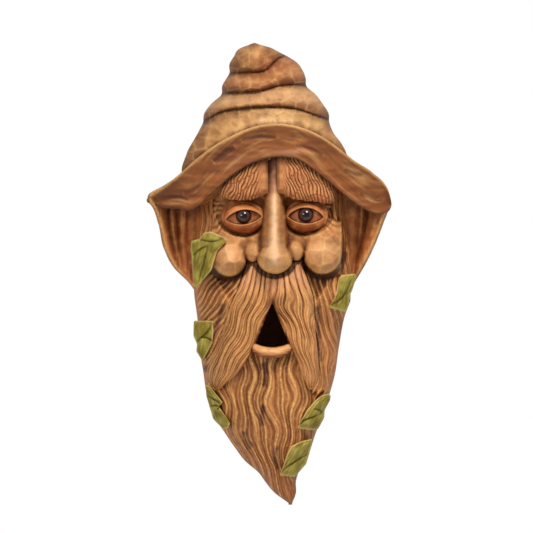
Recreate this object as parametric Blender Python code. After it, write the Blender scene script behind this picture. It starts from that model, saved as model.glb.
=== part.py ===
"""A hanging garden birdhouse: a carved tree spirit with a floppy hat, a long beard and an open mouth.

The body is one hollow casting with a flat back. Its front is a depth above the back plane for each place
seen from the front, written in hundredths of the height. Fits, walls and openings are real sizes in metres.
+Z is up, the face looks along -Y, and the origin is on the back plane, just above the hanging slot.
"""
import math

import bmesh
import bpy
import numpy as np
from mathutils import Matrix

# Driving sizes, in metres
HEIGHT = 0.400
WALL = 0.008
BACK_WALL = 0.009
MOUTH_WIDTH = 0.033
MOUTH_HEIGHT = 0.040
PANEL_WIDTH = 0.076
PANEL_HEIGHT = 0.150
PANEL_THICKNESS = 0.005
PANEL_CORNER = 0.010
PANEL_LEDGE = 0.004
PANEL_CLEARANCE = 0.0005
THUMB_NOTCH_RADIUS = 0.008
THUMB_NOTCH_DEPTH = 0.003
EYE_RADIUS = 0.0070
EYE_CLEARANCE = 0.0003
SCREW_HEAD_HOLE = 0.011
SCREW_HEAD_CHANNEL = 0.0108
SCREW_SHANK_SLOT = 0.005
SLOT_TRAVEL = 0.012
SLOT_LIP = 0.004
SLOT_DEPTH = 0.010
HANGER_ABOVE_SLOT = 0.006
LEAF_THICKNESS = 0.007

# Everything carved is in hundredths of the height, measured from the beard's tip
UNIT = HEIGHT / 100
HANGER_LEVEL = 90.0
CAVITY_FLOOR = 17.0
CAVITY_TOP = 82.0
PANEL_FOOT = 28.0
MOUTH_TOP = 43.7
DEEPEST_CARVING = 1.6
CUT_PAST = 1.0
SLOT_ROUNDING = 0.49

# Fineness of the carved surface
ROWS = 230
COLUMNS = 132
KEPT_SHARE = 0.098
LEAF_SPOKES = 26
LEAF_RINGS = 3


def curve(*points):
    """A smooth curve through (at, value) points, level beyond both ends."""
    at, value = np.array(sorted(points), float).T
    slope = np.gradient(value, at)

    def read(where):
        where = np.clip(where, at[0], at[-1])
        left = np.clip(np.searchsorted(at, where, side="right") - 1, 0, len(at) - 2)
        step = at[left + 1] - at[left]
        t = (where - at[left]) / step
        start = value[left] * (1 + 2 * t) + slope[left] * step * t
        end = value[left + 1] * (3 - 2 * t) - slope[left + 1] * step * (1 - t)
        return start * (1 - t) ** 2 + end * t ** 2

    return read


def ease(low, high, value):
    """0 below low, 1 above high and smooth between them."""
    t = np.clip((value - low) / (high - low), 0, 1)
    return t * t * (3 - 2 * t)


def join(a, b, blend=0.4):
    """The higher of two surfaces, with a soft seam."""
    near = np.clip(blend - np.abs(a - b), 0, None) / blend
    return np.maximum(a, b) + near * near * blend / 4


def dome(x, z, middle, radii, top, rise, turn=0.0, power=2.0):
    """A rounded mass whose rim is rise below its top. Outside the rim it falls away steeply."""
    turn = math.radians(turn)
    dx, dz = x - middle[0], z - middle[1]
    across = (math.cos(turn) * dx + math.sin(turn) * dz) / radii[0]
    up = (math.cos(turn) * dz - math.sin(turn) * dx) / radii[1]
    reach = (np.abs(across) ** power + np.abs(up) ** power) ** (1 / power)
    return top - rise + rise * np.sqrt(np.clip(1 - reach ** 2, 0, None)) - 12 * np.clip(reach - 1, 0, None)


def near_path(x, z, path, pieces=8):
    """The distance from a smooth path, and the share of the path that is passed there."""
    points = np.array(path, float)
    share = np.linspace(0, len(points) - 1, (len(points) - 1) * pieces + 1)
    line = np.stack([curve(*enumerate(points[:, k]))(share) for k in (0, 1)], 1)
    best, along = np.full(x.shape, np.inf), np.zeros(x.shape)
    for i, (start, step) in enumerate(zip(line[:-1], np.diff(line, axis=0))):
        t = np.clip(((x - start[0]) * step[0] + (z - start[1]) * step[1]) / (step @ step), 0, 1)
        distance = np.hypot(x - start[0] - t * step[0], z - start[1] - t * step[1])
        along = np.where(distance < best, (i + t) / (len(line) - 1), along)
        best = np.minimum(best, distance)
    return best, along


def roll(x, z, path, radii, tops):
    """A rounded ridge along a path, with its half-width and its crest's height running smoothly along it."""
    distance, along = near_path(x, z, path)
    radius = curve(*zip(np.linspace(0, 1, len(radii)), radii))(along)
    top = curve(*zip(np.linspace(0, 1, len(tops)), tops))(along)
    reach = distance / radius
    rounded = radius * np.sqrt(np.clip(1 - reach ** 2, 0, None))
    return top - radius + rounded - 12 * np.clip(reach - 1, 0, None)


def groove(x, z, path, width, depth):
    """A rounded groove along a path, running out at both ends."""
    distance, along = near_path(x, z, path)
    return -depth * np.exp(-(distance / width) ** 2) * np.sqrt(np.clip(4 * along * (1 - along), 0, 1))


def section(x, left, right, power):
    """1 in the middle of a D-shaped section and 0 at its two sides."""
    t = np.abs(2 * x - left - right) / (right - left)
    return np.clip(1 - t ** power, 0, None) ** (1 / power)


def gouges(phase):
    """Scooped cuts side by side: 1 on the sharp crests between them, at whole phases, and 0 in each cut."""
    return (2 * (phase - np.floor(phase)) - 1) ** 2


# Outlines, as (height, side) points
HEAD_LEFT = curve((0.3, 3.6), (2.5, 0.6), (5, -1.5), (6.8, -2.8), (9.4, -5.8), (12, -7.8), (14.6, -9.6),
                  (19, -12.4), (24, -14.2), (28, -14.8), (34, -15.7), (40.5, -16.2), (46, -16.9), (52, -16.9),
                  (62, -16.2), (80, -13.5))
HEAD_RIGHT = curve((0.3, 4.4), (2.5, 5.2), (5, 5.2), (7, 5.8), (10, 7.6), (14.6, 9.2), (19, 10.8), (24, 12.5),
                   (28, 13.6), (34, 14.5), (40.5, 15.7), (46, 17.5), (52, 17.4), (62, 16.3), (80, 13.5))
HAT_LEFT = curve((46, -16.4), (48.3, -18.4), (51.3, -21.4), (55.2, -23.5), (61.2, -24.9), (64.3, -26.0),
                 (66, -27.1), (67.3, -26.8), (69.2, -23.5), (71, -21.0), (73.3, -20.4), (78.3, -18.4),
                 (81.1, -16.4), (82.8, -15.1), (84.8, -14.7), (86.9, -13.2), (88.9, -11.0), (90.8, -10.8),
                 (92.4, -9.9), (93.4, -9.3), (95.6, -9.2), (97.3, -8.2), (98.7, -7.3), (99.7, -5.4))
HAT_RIGHT = curve((46, 17.0), (48.3, 18.2), (51.3, 20.0), (55.2, 22.0), (61.2, 24.4), (64.3, 25.5),
                  (66, 25.8), (68.1, 25.3), (71.2, 22.2), (73.3, 19.7), (75.1, 17.8), (78.3, 16.0),
                  (81.1, 13.6), (83, 12.5), (84.8, 12.3), (86.9, 11.0), (89.1, 9.3), (90.6, 7.6),
                  (92.5, 7.3), (94.1, 6.7), (96.2, 5.0), (98, 1.8), (99.2, -0.6), (99.7, -2.2))
HAT_FOOT = 46.3
HEAD_TOP = 79.0


def left_side(z):
    """The left edge of the whole body."""
    head, hat_edge = HEAD_LEFT(z), HAT_LEFT(z)
    return np.where(z < HAT_FOOT, head, np.where(z < HEAD_TOP, np.minimum(head, hat_edge), hat_edge))


def right_side(z):
    """The right edge of the whole body."""
    head, hat_edge = HEAD_RIGHT(z), HAT_RIGHT(z)
    return np.where(z < HAT_FOOT, head, np.where(z < HEAD_TOP, np.maximum(head, hat_edge), hat_edge))


# The hat: a slumped crown in folds, a turned-up brim in front and flaps hanging at the sides
CROWN_DEPTH = curve((46, 20), (72, 22.5), (78, 21.5), (83, 18.6), (86, 17.6), (89, 15), (92, 13.2), (94, 12),
                    (97, 10), (99.7, 6))
CROWN_FOLDS = (
    (curve((-15.5, 82.6), (-11.3, 84.8), (-5.6, 85.7), (0.2, 86), (5.5, 85.5), (9, 84.4), (13, 83.2)), 1.5),
    (curve((-11.2, 89.1), (-6.5, 89.2), (-3.3, 89.4), (-1.2, 89.8), (1, 90.5), (2.9, 90.8), (8, 90.8)), 1.7),
    (curve((-9.6, 93.4), (-4.8, 93.6), (-2.3, 93.7), (-0.9, 94.3), (0.2, 95.5), (1.7, 96.8), (3, 97.4)), 1.6),
)
CROWN_TOP = 104.0
BRIM_TOP = curve((-27.1, 66.2), (-20.3, 71.2), (-16.7, 74.4), (-12.4, 77.6), (-8.4, 79.8), (-3.5, 81.7),
                 (2.3, 82.2), (7.3, 81.1), (10.9, 79.4), (14.5, 76.9), (17.7, 74.4), (21.6, 71.9),
                 (25.2, 67.9), (25.8, 66.5))
BRIM_FOOT = curve((-27.1, 65.7), (-23.8, 64.3), (-20, 64), (-17.7, 63.6), (-16, 64.4), (-14.2, 66.2),
                  (-11.7, 68.4), (-8.4, 71.2), (-5.2, 73.3), (-1.7, 74.6), (2.3, 75.1), (5.8, 74.4),
                  (9.5, 71.9), (12.7, 69.4), (16.2, 66.5), (19.9, 64), (22.7, 62.9), (25.8, 63.6))
BRIM_DEPTH = curve((-27.1, 10), (-23, 13.5), (-18, 17.5), (-12, 21.8), (-6, 24.6), (1, 25.6), (8, 24.2),
                   (14, 20.8), (20, 16), (25.8, 11))
FLAP_DEPTH = curve((46, 5), (50, 6.5), (56, 8.5), (62, 10.5), (66, 11.5), (70, 12.5), (76, 14))


def fold(v):
    """A fold that hangs over its lower crease, at 0, and thins out to its upper one, at 1."""
    crest = 0.3
    under = np.sqrt(np.clip(1 - ((crest - v) / crest) ** 2, 0, None))
    over = np.clip(1 - (v - crest) / (1 - crest), 0, 1) ** 1.5
    return np.where(v < 0, 0, np.where(v < crest, under, over))


def crown(x, z):
    depth = CROWN_DEPTH(z)
    uppers = [low(x) for low, rise in CROWN_FOLDS[1:]] + [CROWN_TOP + 0 * x]
    for (low, rise), upper in zip(CROWN_FOLDS, uppers):
        v = (z - low(x)) / np.maximum(upper - low(x), 0.5)
        depth = depth + rise * fold(v) * (z < upper)
    return depth * section(x, HAT_LEFT(z), HAT_RIGHT(z), 2.2)


def rounded_edge(inset, radius):
    """1 well inside an edge, falling as a quarter circle to 0 on it."""
    return np.sqrt(np.clip(1 - (1 - np.clip(inset / radius, 0, 1)) ** 2, 0, 1))


def brim(x, z):
    top, foot = BRIM_TOP(x), BRIM_FOOT(x)
    v = np.clip((z - foot) / (top - foot), 0, 1)
    inset = np.minimum(z - foot, top - z)
    leaning = BRIM_DEPTH(x) + 2.2 * v - 1.3 * np.sin(math.pi * v)
    return leaning + 0.8 * rounded_edge(inset, 0.7) - 0.8 + 14 * np.minimum(inset, 0)


FLAP_FOLDS = (
    ([(-22.6, 66), (-21.8, 58), (-19.6, 50)], 1.3),
    ([(-20.4, 66), (-20.1, 57), (-18.7, 49.5)], 1.0),
    ([(-18.2, 66), (-18.1, 56), (-17.6, 49)], 0.8),
    ([(20.6, 66), (20.0, 60), (17.2, 49)], 1.3),
    ([(18.6, 66), (18.3, 57), (17.6, 50)], 0.8),
    ([(23.2, 64), (22.0, 57), (20.0, 51.5)], 0.6),
)


def flaps(x, z):
    inset = np.minimum(x - HAT_LEFT(z), HAT_RIGHT(z) - x)
    hollow = 1 - 0.3 * ease(1, 5, inset)
    folds = sum(groove(x, z, path, 0.65, depth) for path, depth in FLAP_FOLDS)
    return FLAP_DEPTH(z) * rounded_edge(inset, 0.9) * hollow + folds * ease(0.6, 1.8, inset)


def hat(x, z):
    over_foot = z - BRIM_FOOT(x)
    behind = np.maximum(crown(x, z) * ease(0.5, 2, over_foot), flaps(x, z) * (1 - ease(2, 4, over_foot)))
    return join(behind, brim(x, z), 0.25)


# The face
FACE_DEPTH = curve((40, 14), (46, 18), (52, 19), (60, 18.8), (68, 19.5), (76, 19.5), (80, 18))
LEFT_EYE, RIGHT_EYE = (-6.1, 62.5), (7.25, 62.75)
EYE_DEPTH = 19.25
LID_HALF = 4.1
BROW_FOOT = curve((-11.4, 66.4), (-8, 65.9), (-4, 66.1), (-1, 67.2), (1.7, 67.4), (4, 66.3), (9, 65.6),
                  (12.5, 65.2), (14, 66))
BROW_DEPTH = curve((-12, 18.4), (-9, 21.4), (-5, 22.9), (-1, 23.1), (2, 23.1), (6, 23), (11, 21), (14, 18))
BROW_SIDES = ((-11.5, -1.0), (1.6, 13.7))


def upper_lid(across):
    return 1.75 * np.clip(1 - (across / LID_HALF) ** 2, 0, None) ** 0.8 - 0.15


def lower_lid(across):
    return -1.5 * np.clip(1 - (across / LID_HALF) ** 2, 0, None) ** 0.8 - 0.15


def eyeball(x, z, middle):
    """The lids over the ball, and the ball between them."""
    across, up = x - middle[0], z - middle[1]
    lids = dome(x, z, middle, (4.9, 4.1), 20.9, 3.6, 0, 2.2)
    edge = np.minimum(np.abs(up - upper_lid(across) - 0.3), np.abs(up - lower_lid(across) + 0.25))
    lids = lids + 0.45 * np.exp(-(edge / 0.4) ** 2) * (np.abs(across) < LID_HALF)
    between = (up < upper_lid(across)) & (up > lower_lid(across)) & (np.abs(across) < LID_HALF)
    return np.where(between, np.minimum(20.2 - (across ** 2 + up ** 2) / 13, lids - 0.3), lids)


def eyes(x, z, depth):
    for middle in (LEFT_EYE, RIGHT_EYE):
        hollow = np.clip(1 - ((x - middle[0]) / 6.0) ** 2 - ((z - middle[1] - 0.3) / 4.9) ** 2, 0, None)
        depth = join(depth - 2.2 * np.sqrt(hollow), eyeball(x, z, middle), 0.3)
    return depth


def nose(x, z):
    ridge = [(0.1, 76), (0.3, 69.5), (0.5, 63), (0.5, 57), (0.6, 53.5)]
    bridge = roll(x, z, ridge, (1.4, 1.6, 1.9, 2.6, 3.2), (21.2, 21.4, 22.8, 26.3, 27.8))
    ball = dome(x, z, (0.7, 53.6), (3.7, 3.9), 29.3, 7.2, 0, 2.3)
    left_wing = dome(x, z, (-3.7, 54.6), (2.0, 2.4), 23.8, 4.6)
    right_wing = dome(x, z, (4.9, 54.9), (2.1, 2.5), 23.8, 4.6)
    return join(join(bridge, ball, 1.2), join(left_wing, right_wing), 1.0)


def cheeks(x, z):
    left = dome(x, z, (-8.6, 54.0), (4.5, 4.3), 24.2, 6.4, 0, 2.3)
    right = dome(x, z, (10.2, 55.0), (5.0, 4.8), 24.2, 6.8, -6, 2.5)
    return join(left, right)


def brows(x, z):
    """Two thick pads of short hair that run up under the hat."""
    pads = 0
    for left, right in BROW_SIDES:
        from_side = np.minimum(x - left, right - x)
        inset = np.minimum(z - BROW_FOOT(x), from_side)
        rounded = rounded_edge(z - BROW_FOOT(x), 2.0) * rounded_edge(from_side, 0.9)
        pad = BROW_DEPTH(x) - 2.4 + 2.4 * rounded - 10 * np.clip(-inset, 0, None)
        pads = np.maximum(pads, pad)
    lean = np.where(x < 0, 0.25, -0.3) * (z - 66)
    return pads + 0.3 * gouges(0.8 * (x + lean) + 0.3 * np.sin(1.1 * z)) - 0.15


def wrinkles(x, z):
    lines = 0.0
    for side, start, end in ((-1, -11.0, -15.0), (1, 11.9, 15.8)):
        for level in (60.2, 62.4, 64.6):
            path = [(start, level), ((start + end) / 2, level + 0.5), (end, level - 0.4)]
            lines = lines + groove(x, z, path, 0.45, 0.7)
    return lines


def face(x, z):
    depth = FACE_DEPTH(z) * section(x, HEAD_LEFT(z) + 0.3, HEAD_RIGHT(z) - 0.3, 2.6)
    depth = join(depth, cheeks(x, z), 2.5)
    depth = eyes(x, z, depth)
    depth = join(depth, brows(x, z), 0.3)
    return join(depth, nose(x, z), 0.5) + wrinkles(x, z)


# The hair: locks at the sides, a long moustache in two locks, the lip and the beard
HAIR_DEPTH = curve((0, 2.6), (1.5, 4.2), (5, 7.2), (10, 10.5), (16, 13.5), (22, 15.8), (28, 17.2), (34, 18),
                   (45, 18.5), (52, 18), (60, 17), (70, 16))
MOUSTACHE_PROUD = curve((22, 1.6), (26, 2.6), (32, 3.4), (40, 4.0), (46, 4.6), (52, 4.2))
SIDE_HAIR_BAND = curve((40, 9), (46, 6.5), (50, 4.6), (58, 3.2), (70, 2.6))
BEARD_MIDDLE = curve((0, 4.0), (6, 2.4), (12, 0.9), (20, 0), (34, 0.2))
BEARD_SPACING = curve((0, 1.2), (8, 1.5), (20, 2.1), (40, 2.3))
SIDE_FLOW = curve((22, 15.5), (28, 15.2), (34, 13), (40, 11), (46, 9.6), (54, 9.2), (70, 9))
MOUTH_HALF = MOUTH_WIDTH / 2 / UNIT
MOUTH_DROP = MOUTH_HEIGHT / UNIT
MOUTH_FOOT = MOUTH_TOP - MOUTH_DROP
MOUTH_WIDEST = 0.84
LEFT_LOCK = (
    curve((22.8, -12.6), (24.5, -14.6), (27.5, -16.0), (30.3, -15.0), (34.7, -12.8), (39, -11.1),
          (44.4, -9.2), (47.6, -7.2), (50.5, -4.9), (52, -3.6)),
    curve((22.8, -11.4), (26, -9.8), (29.7, -7.2), (31.8, -5.6), (33.6, -4.6), (36.8, -3.2), (40.5, -1.7),
          (43.7, -0.1), (46.5, 0.3), (52, -0.4)),
)
RIGHT_LOCK = (
    curve((22.6, 10.9), (24.4, 9.3), (27.1, 7.4), (30.3, 5.8), (33.6, 4.5), (36.8, 3.3), (40.5, 1.8),
          (43.7, 0.4), (46.5, 0.4), (52, 0.8)),
    curve((22.6, 12.2), (24.5, 12.9), (28, 12.8), (32, 11.8), (36, 10.6), (40, 9.7), (44.4, 8.6), (47.6, 7.2),
          (50.5, 5.6), (52, 4.4)),
)


def mouth_half(share):
    """Half the mouth's width at a share of the way down it: a rounded triangle."""
    rounded = np.clip((share - MOUTH_WIDEST) / (1 - MOUTH_WIDEST), 0, 1)
    return MOUTH_HALF * share ** 0.95 * np.sqrt(1 - rounded ** 2)


def lock(x, z, sides, count, foot, top):
    """A lock of hair between its two sides, in strands that wave along it."""
    left, right = sides[0](z), sides[1](z)
    half = np.maximum((right - left) / 2, 0.2)
    t = (x - left) / (2 * half)
    ends = np.minimum(z - foot, top - z)
    inside = section(np.clip(t, 0, 1), 0, 1, 2.6)
    cut = 0.26 * 2 * half / count
    carving = cut * gouges(count * t + 0.22 * np.sin(0.75 * z + 5 * t)) - cut / 2
    bed = HAIR_DEPTH(z) * section(x, HEAD_LEFT(z), HEAD_RIGHT(z), 2.2)
    rounded = bed + MOUSTACHE_PROUD(z) + 2.2 * inside * rounded_edge(ends, 1.5) - 2.2
    outside = np.clip(np.abs(t - 0.5) - 0.5, 0, None) * 2 * half + np.clip(-ends, 0, None)
    return rounded + carving - 10 * outside


def lip(x, z):
    crescent = ((-1.2, 1.0), (-0.6, -0.8), (0, -1.4), (0.6, -0.8), (1.2, 1.0))
    path = [(share * MOUTH_HALF, MOUTH_FOOT + rise) for share, rise in crescent]
    return roll(x, z, path, (0.9, 1.25, 1.3, 1.25, 0.9), (19.6, 20.9, 21.2, 20.9, 19.6))


def side_hair(x, z):
    """The mass of hair beside the face, from under the brim down to the beard."""
    left, right = HEAD_LEFT(z), HEAD_RIGHT(z)
    inset = np.minimum(x - left, right - x)
    within = 4 * np.clip(inset - SIDE_HAIR_BAND(z), 0, None)
    return 17.2 * section(x, left, right, 3.0) - within - 20 * (1 - ease(24, 45, z))


def beside_moustache(x, z):
    """1 on the hair outside the moustache and 0 on the beard between its two locks."""
    outside = np.maximum(LEFT_LOCK[0](z) - x, x - RIGHT_LOCK[1](z))
    return ease(-0.4, 0.4, outside) * ease(21, 24, z)


def strands(x, z):
    """Scooped strands over the hair: they run down the beard to its tip, and outward at the sides."""
    down = (x - BEARD_MIDDLE(z)) / BEARD_SPACING(z)
    down = down + 0.36 * np.sin(0.6 * z + 0.5 * x) + 0.25 * np.sin(0.31 * z - 0.9 * x)
    out = 6.5 * x / SIDE_FLOW(z) + 0.3 * np.sin(0.62 * z + 0.7 * x)
    beside = beside_moustache(x, z)
    cut = 0.3 * BEARD_SPACING(z)
    scoops = gouges(down) * (1 - beside) + gouges(out) * beside
    inset = np.minimum(x - HEAD_LEFT(z), HEAD_RIGHT(z) - x)
    return cut * (scoops - 0.5) * ease(0, 1.2, inset)


def hair(x, z):
    mass = join(HAIR_DEPTH(z) * section(x, HEAD_LEFT(z), HEAD_RIGHT(z), 2.2), side_hair(x, z), 0.8)
    depth = mass + strands(x, z)
    depth = join(depth, lock(x, z, LEFT_LOCK, 5, 22.8, 53), 0.2)
    depth = join(depth, lock(x, z, RIGHT_LOCK, 4, 22.6, 53), 0.2)
    return join(depth, lip(x, z), 0.2)


def front(x, z):
    """How far the carved front stands from the back plane."""
    in_head = (x > HEAD_LEFT(z)) & (x < HEAD_RIGHT(z)) & (z < HEAD_TOP)
    in_hat = (x > HAT_LEFT(z)) & (x < HAT_RIGHT(z)) & (z > HAT_FOOT)
    head = np.maximum(hair(x, z), face(x, z) - 14 * (1 - ease(42, 50, z)))
    head = head * (1 - ease(1, 3, z - BRIM_FOOT(x)))
    return np.maximum(np.where(in_head, head, 0), np.where(in_hat, hat(x, z), 0))


# Leaves lying on the hair, as outlines
LEAVES = {
    "left_cheek": ((-15.0, 54.2), ((-17.6, 55.4), (-17.4, 57.1), (-15.6, 57.6), (-14.7, 58.9), (-13.1, 59.2),
                                   (-9.35, 57.4), (-11.7, 55.1), (-12.4, 52.9), (-13.0, 50.8), (-14.9, 48.6),
                                   (-16.2, 47.0), (-16.9, 47.5), (-17.1, 50.8), (-17.3, 53.3))),
    "left_beard": ((-14.8, 36.6), ((-16.9, 39.9), (-12.7, 40.0), (-12.6, 37.5), (-12.9, 34.8), (-15.0, 31.1),
                                   (-16.35, 33.3), (-16.2, 34.8), (-17.0, 36.7))),
    "left_low": ((-12.0, 20.8), ((-14.4, 26.3), (-13.1, 25.4), (-10.6, 22.3), (-11.5, 21.5), (-9.0, 17.8),
                                 (-9.4, 16.7), (-10.6, 16.5), (-12.7, 18.6), (-13.5, 21.3), (-14.2, 23.7))),
    "right_side": ((15.4, 45.6), ((15.0, 49.8), (17.9, 50.1), (18.2, 49.3), (17.3, 46.4), (16.8, 45.5),
                                  (16.7, 43.8), (15.85, 41.7), (14.5, 42.1), (12.0, 42.8), (13.2, 44.3),
                                  (13.9, 46.3), (14.1, 48.1), (14.4, 49.1))),
    "right_beard": ((9.2, 19.8), ((12.2, 24.2), (12.7, 23.7), (12.5, 22.6), (11.4, 20.6), (11.3, 18.9),
                                  (10.0, 16.5), (8.8, 16.2), (5.4, 16.7), (6.4, 18.6), (7.6, 20.8),
                                  (9.3, 22.7), (10.7, 23.8))),
    "right_low": ((5.5, 10.4), ((8.7, 14.4), (8.4, 12.35), (7.8, 10.2), (7.4, 8.9), (5.4, 6.6), (4.9, 6.1),
                                (1.6, 6.5), (2.5, 8.7), (3.3, 11.4), (4.2, 12.9), (6.4, 13.9))),
}
LEAF_PROUD = 0.5
LEAF_DOME = 0.5
LEAF_GRIP = 2.0
LEAF_STEEPEST = 1.0


def tidy_scene():
    for item in list(bpy.data.objects):
        bpy.data.objects.remove(item)


def new_collection(name):
    collection = bpy.data.collections.new(name)
    bpy.context.scene.collection.children.link(collection)
    return collection


def material(name, colour, roughness):
    made = bpy.data.materials.new(name)
    made.use_nodes = True
    shader = made.node_tree.nodes["Principled BSDF"]
    shader.inputs["Base Color"].default_value = (*colour, 1)
    shader.inputs["Roughness"].default_value = roughness
    shader.inputs["Metallic"].default_value = 0.0
    return made


def place(x, z, depth):
    """A point of the carved front, in metres from the hanger."""
    return (x * UNIT, -depth * UNIT, (z - HANGER_LEVEL) * UNIT)


def level(z):
    """A carved height as a height above the hanger, in metres."""
    return (z - HANGER_LEVEL) * UNIT


def object_from(name, mesh, collection):
    made = bpy.data.objects.new(name, mesh)
    collection.objects.link(made)
    return made


def loft(name, rings, collection):
    """A closed skin over rings of the same number of points, capped at both ends."""
    rings = np.asarray(rings, float)
    levels, around = rings.shape[:2]
    row, point = np.meshgrid(np.arange(levels - 1), np.arange(around), indexing="ij")
    following = (point + 1) % around
    skin = np.stack([row * around + point, row * around + following, (row + 1) * around + following,
                     (row + 1) * around + point], -1).reshape(-1, 4).tolist()
    caps = [list(range(around))[::-1], list(range((levels - 1) * around, levels * around))]
    mesh = bpy.data.meshes.new(name)
    mesh.from_pydata(rings.reshape(-1, 3).tolist(), [], skin + caps)
    mesh.update()
    return object_from(name, mesh, collection)


def cutter(shape):
    shape.hide_render = True
    shape.display_type = "WIRE"
    return shape


def boolean(target, tool, operation):
    modifier = target.modifiers.new(tool.name, "BOOLEAN")
    modifier.operation = operation
    modifier.solver = "EXACT"
    modifier.object = tool


def body_ring(z, angles):
    """One level section of the casting: the carved front, drawn in at the sides towards the flat back."""
    left, right = left_side(z), right_side(z)
    x = (left + right) / 2 + (right - left) / 2 * np.sin(angles)
    depth = front(x, np.full(x.shape, z))
    depth[0] = depth[-1] = 0
    flare = 0.24 * ease(HAT_FOOT, 56, z) * (1 - ease(74, 84, z))
    rim = 0.6 * FLAP_DEPTH(z)
    drawn_in = x * (1 - flare * np.clip(1 - depth / rim, 0, 1))
    return [place(*point) for point in zip(drawn_in, np.full(x.shape, z), depth)]


def carve_body(collection):
    angles = np.linspace(-math.pi / 2, math.pi / 2, COLUMNS)
    rings = [body_ring(z, angles) for z in np.linspace(0, 100, ROWS)]
    body = loft("body", rings, collection)
    thin = body.modifiers.new("fewer_faces", "DECIMATE")
    thin.ratio = KEPT_SHARE
    return body


def inset_from_side(x, z):
    """How far inside the body's outline a place is."""
    return np.minimum(x - left_side(z), right_side(z) - x)


def leaf_bed(x, z):
    """The plane that a leaf lies in, and how far the hair rises and dips from it."""
    held = inset_from_side(x, z) > LEAF_GRIP
    x, z = x[held], z[held]
    columns = np.stack([np.ones_like(x), x, z], 1)
    hair_here = front(x, z)
    plane = np.linalg.lstsq(columns, hair_here, rcond=None)[0]
    plane[1:] = np.clip(plane[1:], -LEAF_STEEPEST, LEAF_STEEPEST)
    plane[0] = np.mean(hair_here - columns[:, 1:] @ plane[1:])
    over = hair_here - columns @ plane
    return plane, over.max(), -over.min()


def leaf(name, middle, outline, collection):
    """A cast leaf: a domed blade that lies on the hair, is rooted in it and stands free past its edge."""
    middle, corners = np.array(middle), np.array(outline)
    along = np.linspace(0, len(corners), LEAF_SPOKES, endpoint=False)
    start = np.floor(along).astype(int)
    share = (along - start)[:, None]
    edge = corners[start] * (1 - share) + corners[(start + 1) % len(corners)] * share
    if np.sum(edge[:, 0] * np.roll(edge[:, 1], -1) - np.roll(edge[:, 0], -1) * edge[:, 1]) < 0:
        edge = edge[::-1]
    reaches = np.linspace(1, 0.12, LEAF_RINGS)
    spread = np.concatenate([middle + (edge - middle) * reach for reach in reaches])
    plane, rise, dip = leaf_bed(*spread.T)
    blade, back = [], []
    for reach in reaches:
        x, z = (middle + (edge - middle) * reach).T
        bed = plane[0] + plane[1] * x + plane[2] * z
        top = bed + rise + LEAF_PROUD + LEAF_DOME * (1 - reach)
        rooted = ease(-0.5, LEAF_GRIP, inset_from_side(x, z))
        thickness = LEAF_THICKNESS / UNIT + (rise + dip + LEAF_DOME) * rooted
        blade.append([place(*spot) for spot in zip(x, z, top)])
        behind = np.maximum(top - thickness, LEAF_PROUD)
        back.insert(0, [place(*spot) for spot in zip(x, z, behind)])
    return loft(name, back + blade, collection)


def leaves(collection):
    made = [leaf("leaf_" + name, middle, outline, collection) for name, (middle, outline) in LEAVES.items()]
    return [cutter(item) for item in made]


def cavity(collection):
    """The nest chamber: the head's own section, a wall smaller."""
    angles = np.linspace(-math.pi / 2, math.pi / 2, 19)
    rings = []
    centre, reach = (CAVITY_FLOOR + CAVITY_TOP) / 2, (CAVITY_TOP - CAVITY_FLOOR) / 2
    for z in centre - reach * np.cos(np.linspace(0, math.pi, 17)):
        middle = (HEAD_LEFT(z) + HEAD_RIGHT(z)) / 2 * UNIT
        half = (HEAD_RIGHT(z) - HEAD_LEFT(z)) / 2 * UNIT - WALL - DEEPEST_CARVING * UNIT / 2
        deep = (HAIR_DEPTH(z) - DEEPEST_CARVING) * UNIT - WALL - BACK_WALL
        crowned = max(0.3, 1 - abs((z - centre) / reach) ** 6) ** 0.5
        across, forward = half * crowned * np.sin(angles), deep * crowned * np.cos(angles)
        rings.append([(middle + x, -BACK_WALL - y, level(z)) for x, y in zip(across, forward)])
    return cutter(loft("nest_chamber", rings, collection))


def mouth(collection):
    """The way in: a rounded triangle straight through the front wall."""
    rounding = np.sin(np.linspace(0, math.pi / 2, 6))[1:-1]
    shares = [*np.linspace(0.04, MOUTH_WIDEST, 10), *(MOUTH_WIDEST + (1 - MOUTH_WIDEST) * rounding)]
    left = [(-mouth_half(share), MOUTH_TOP - MOUTH_DROP * share) for share in shares]
    outline = left + [(-x, z) for x, z in left[::-1]]
    chamber_side, outside = BACK_WALL / UNIT + 4, 32
    rings = [[place(x, z, depth) for x, z in outline] for depth in (chamber_side, outside)]
    return cutter(loft("mouth_cut", rings, collection))


def slab(name, width, height, corner, middle, near, far, collection):
    """An upright plate with round corners, between two distances from the back plane."""
    outline = []
    for turn, side, end in ((0, 1, 1), (0.5, -1, 1), (1, -1, -1), (1.5, 1, -1)):
        for angle in math.pi * (turn + np.linspace(0, 0.5, 5)):
            x = side * (width / 2 - corner) + corner * math.cos(angle)
            z = end * (height / 2 - corner) + corner * math.sin(angle)
            outline.append((middle[0] + x, middle[1] + z))
    rings = [[(x, -distance, z) for x, z in outline] for distance in (near, far)]
    return loft(name, rings, collection)


def panel_middle():
    return (0.0, level(PANEL_FOOT) + PANEL_HEIGHT / 2)


def panel_cuts(collection):
    middle = panel_middle()
    slack = 2 * PANEL_CLEARANCE
    inner = 2 * PANEL_LEDGE
    past = CUT_PAST * UNIT
    rebate = slab("panel_rebate", PANEL_WIDTH + slack, PANEL_HEIGHT + slack, PANEL_CORNER + PANEL_CLEARANCE,
                  middle, -past, PANEL_THICKNESS + PANEL_CLEARANCE, collection)
    opening = slab("panel_opening", PANEL_WIDTH - inner, PANEL_HEIGHT - inner, PANEL_CORNER - PANEL_LEDGE / 2,
                   middle, -past, BACK_WALL + past, collection)
    return [cutter(rebate), cutter(opening), thumb_notch(collection)]


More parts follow.
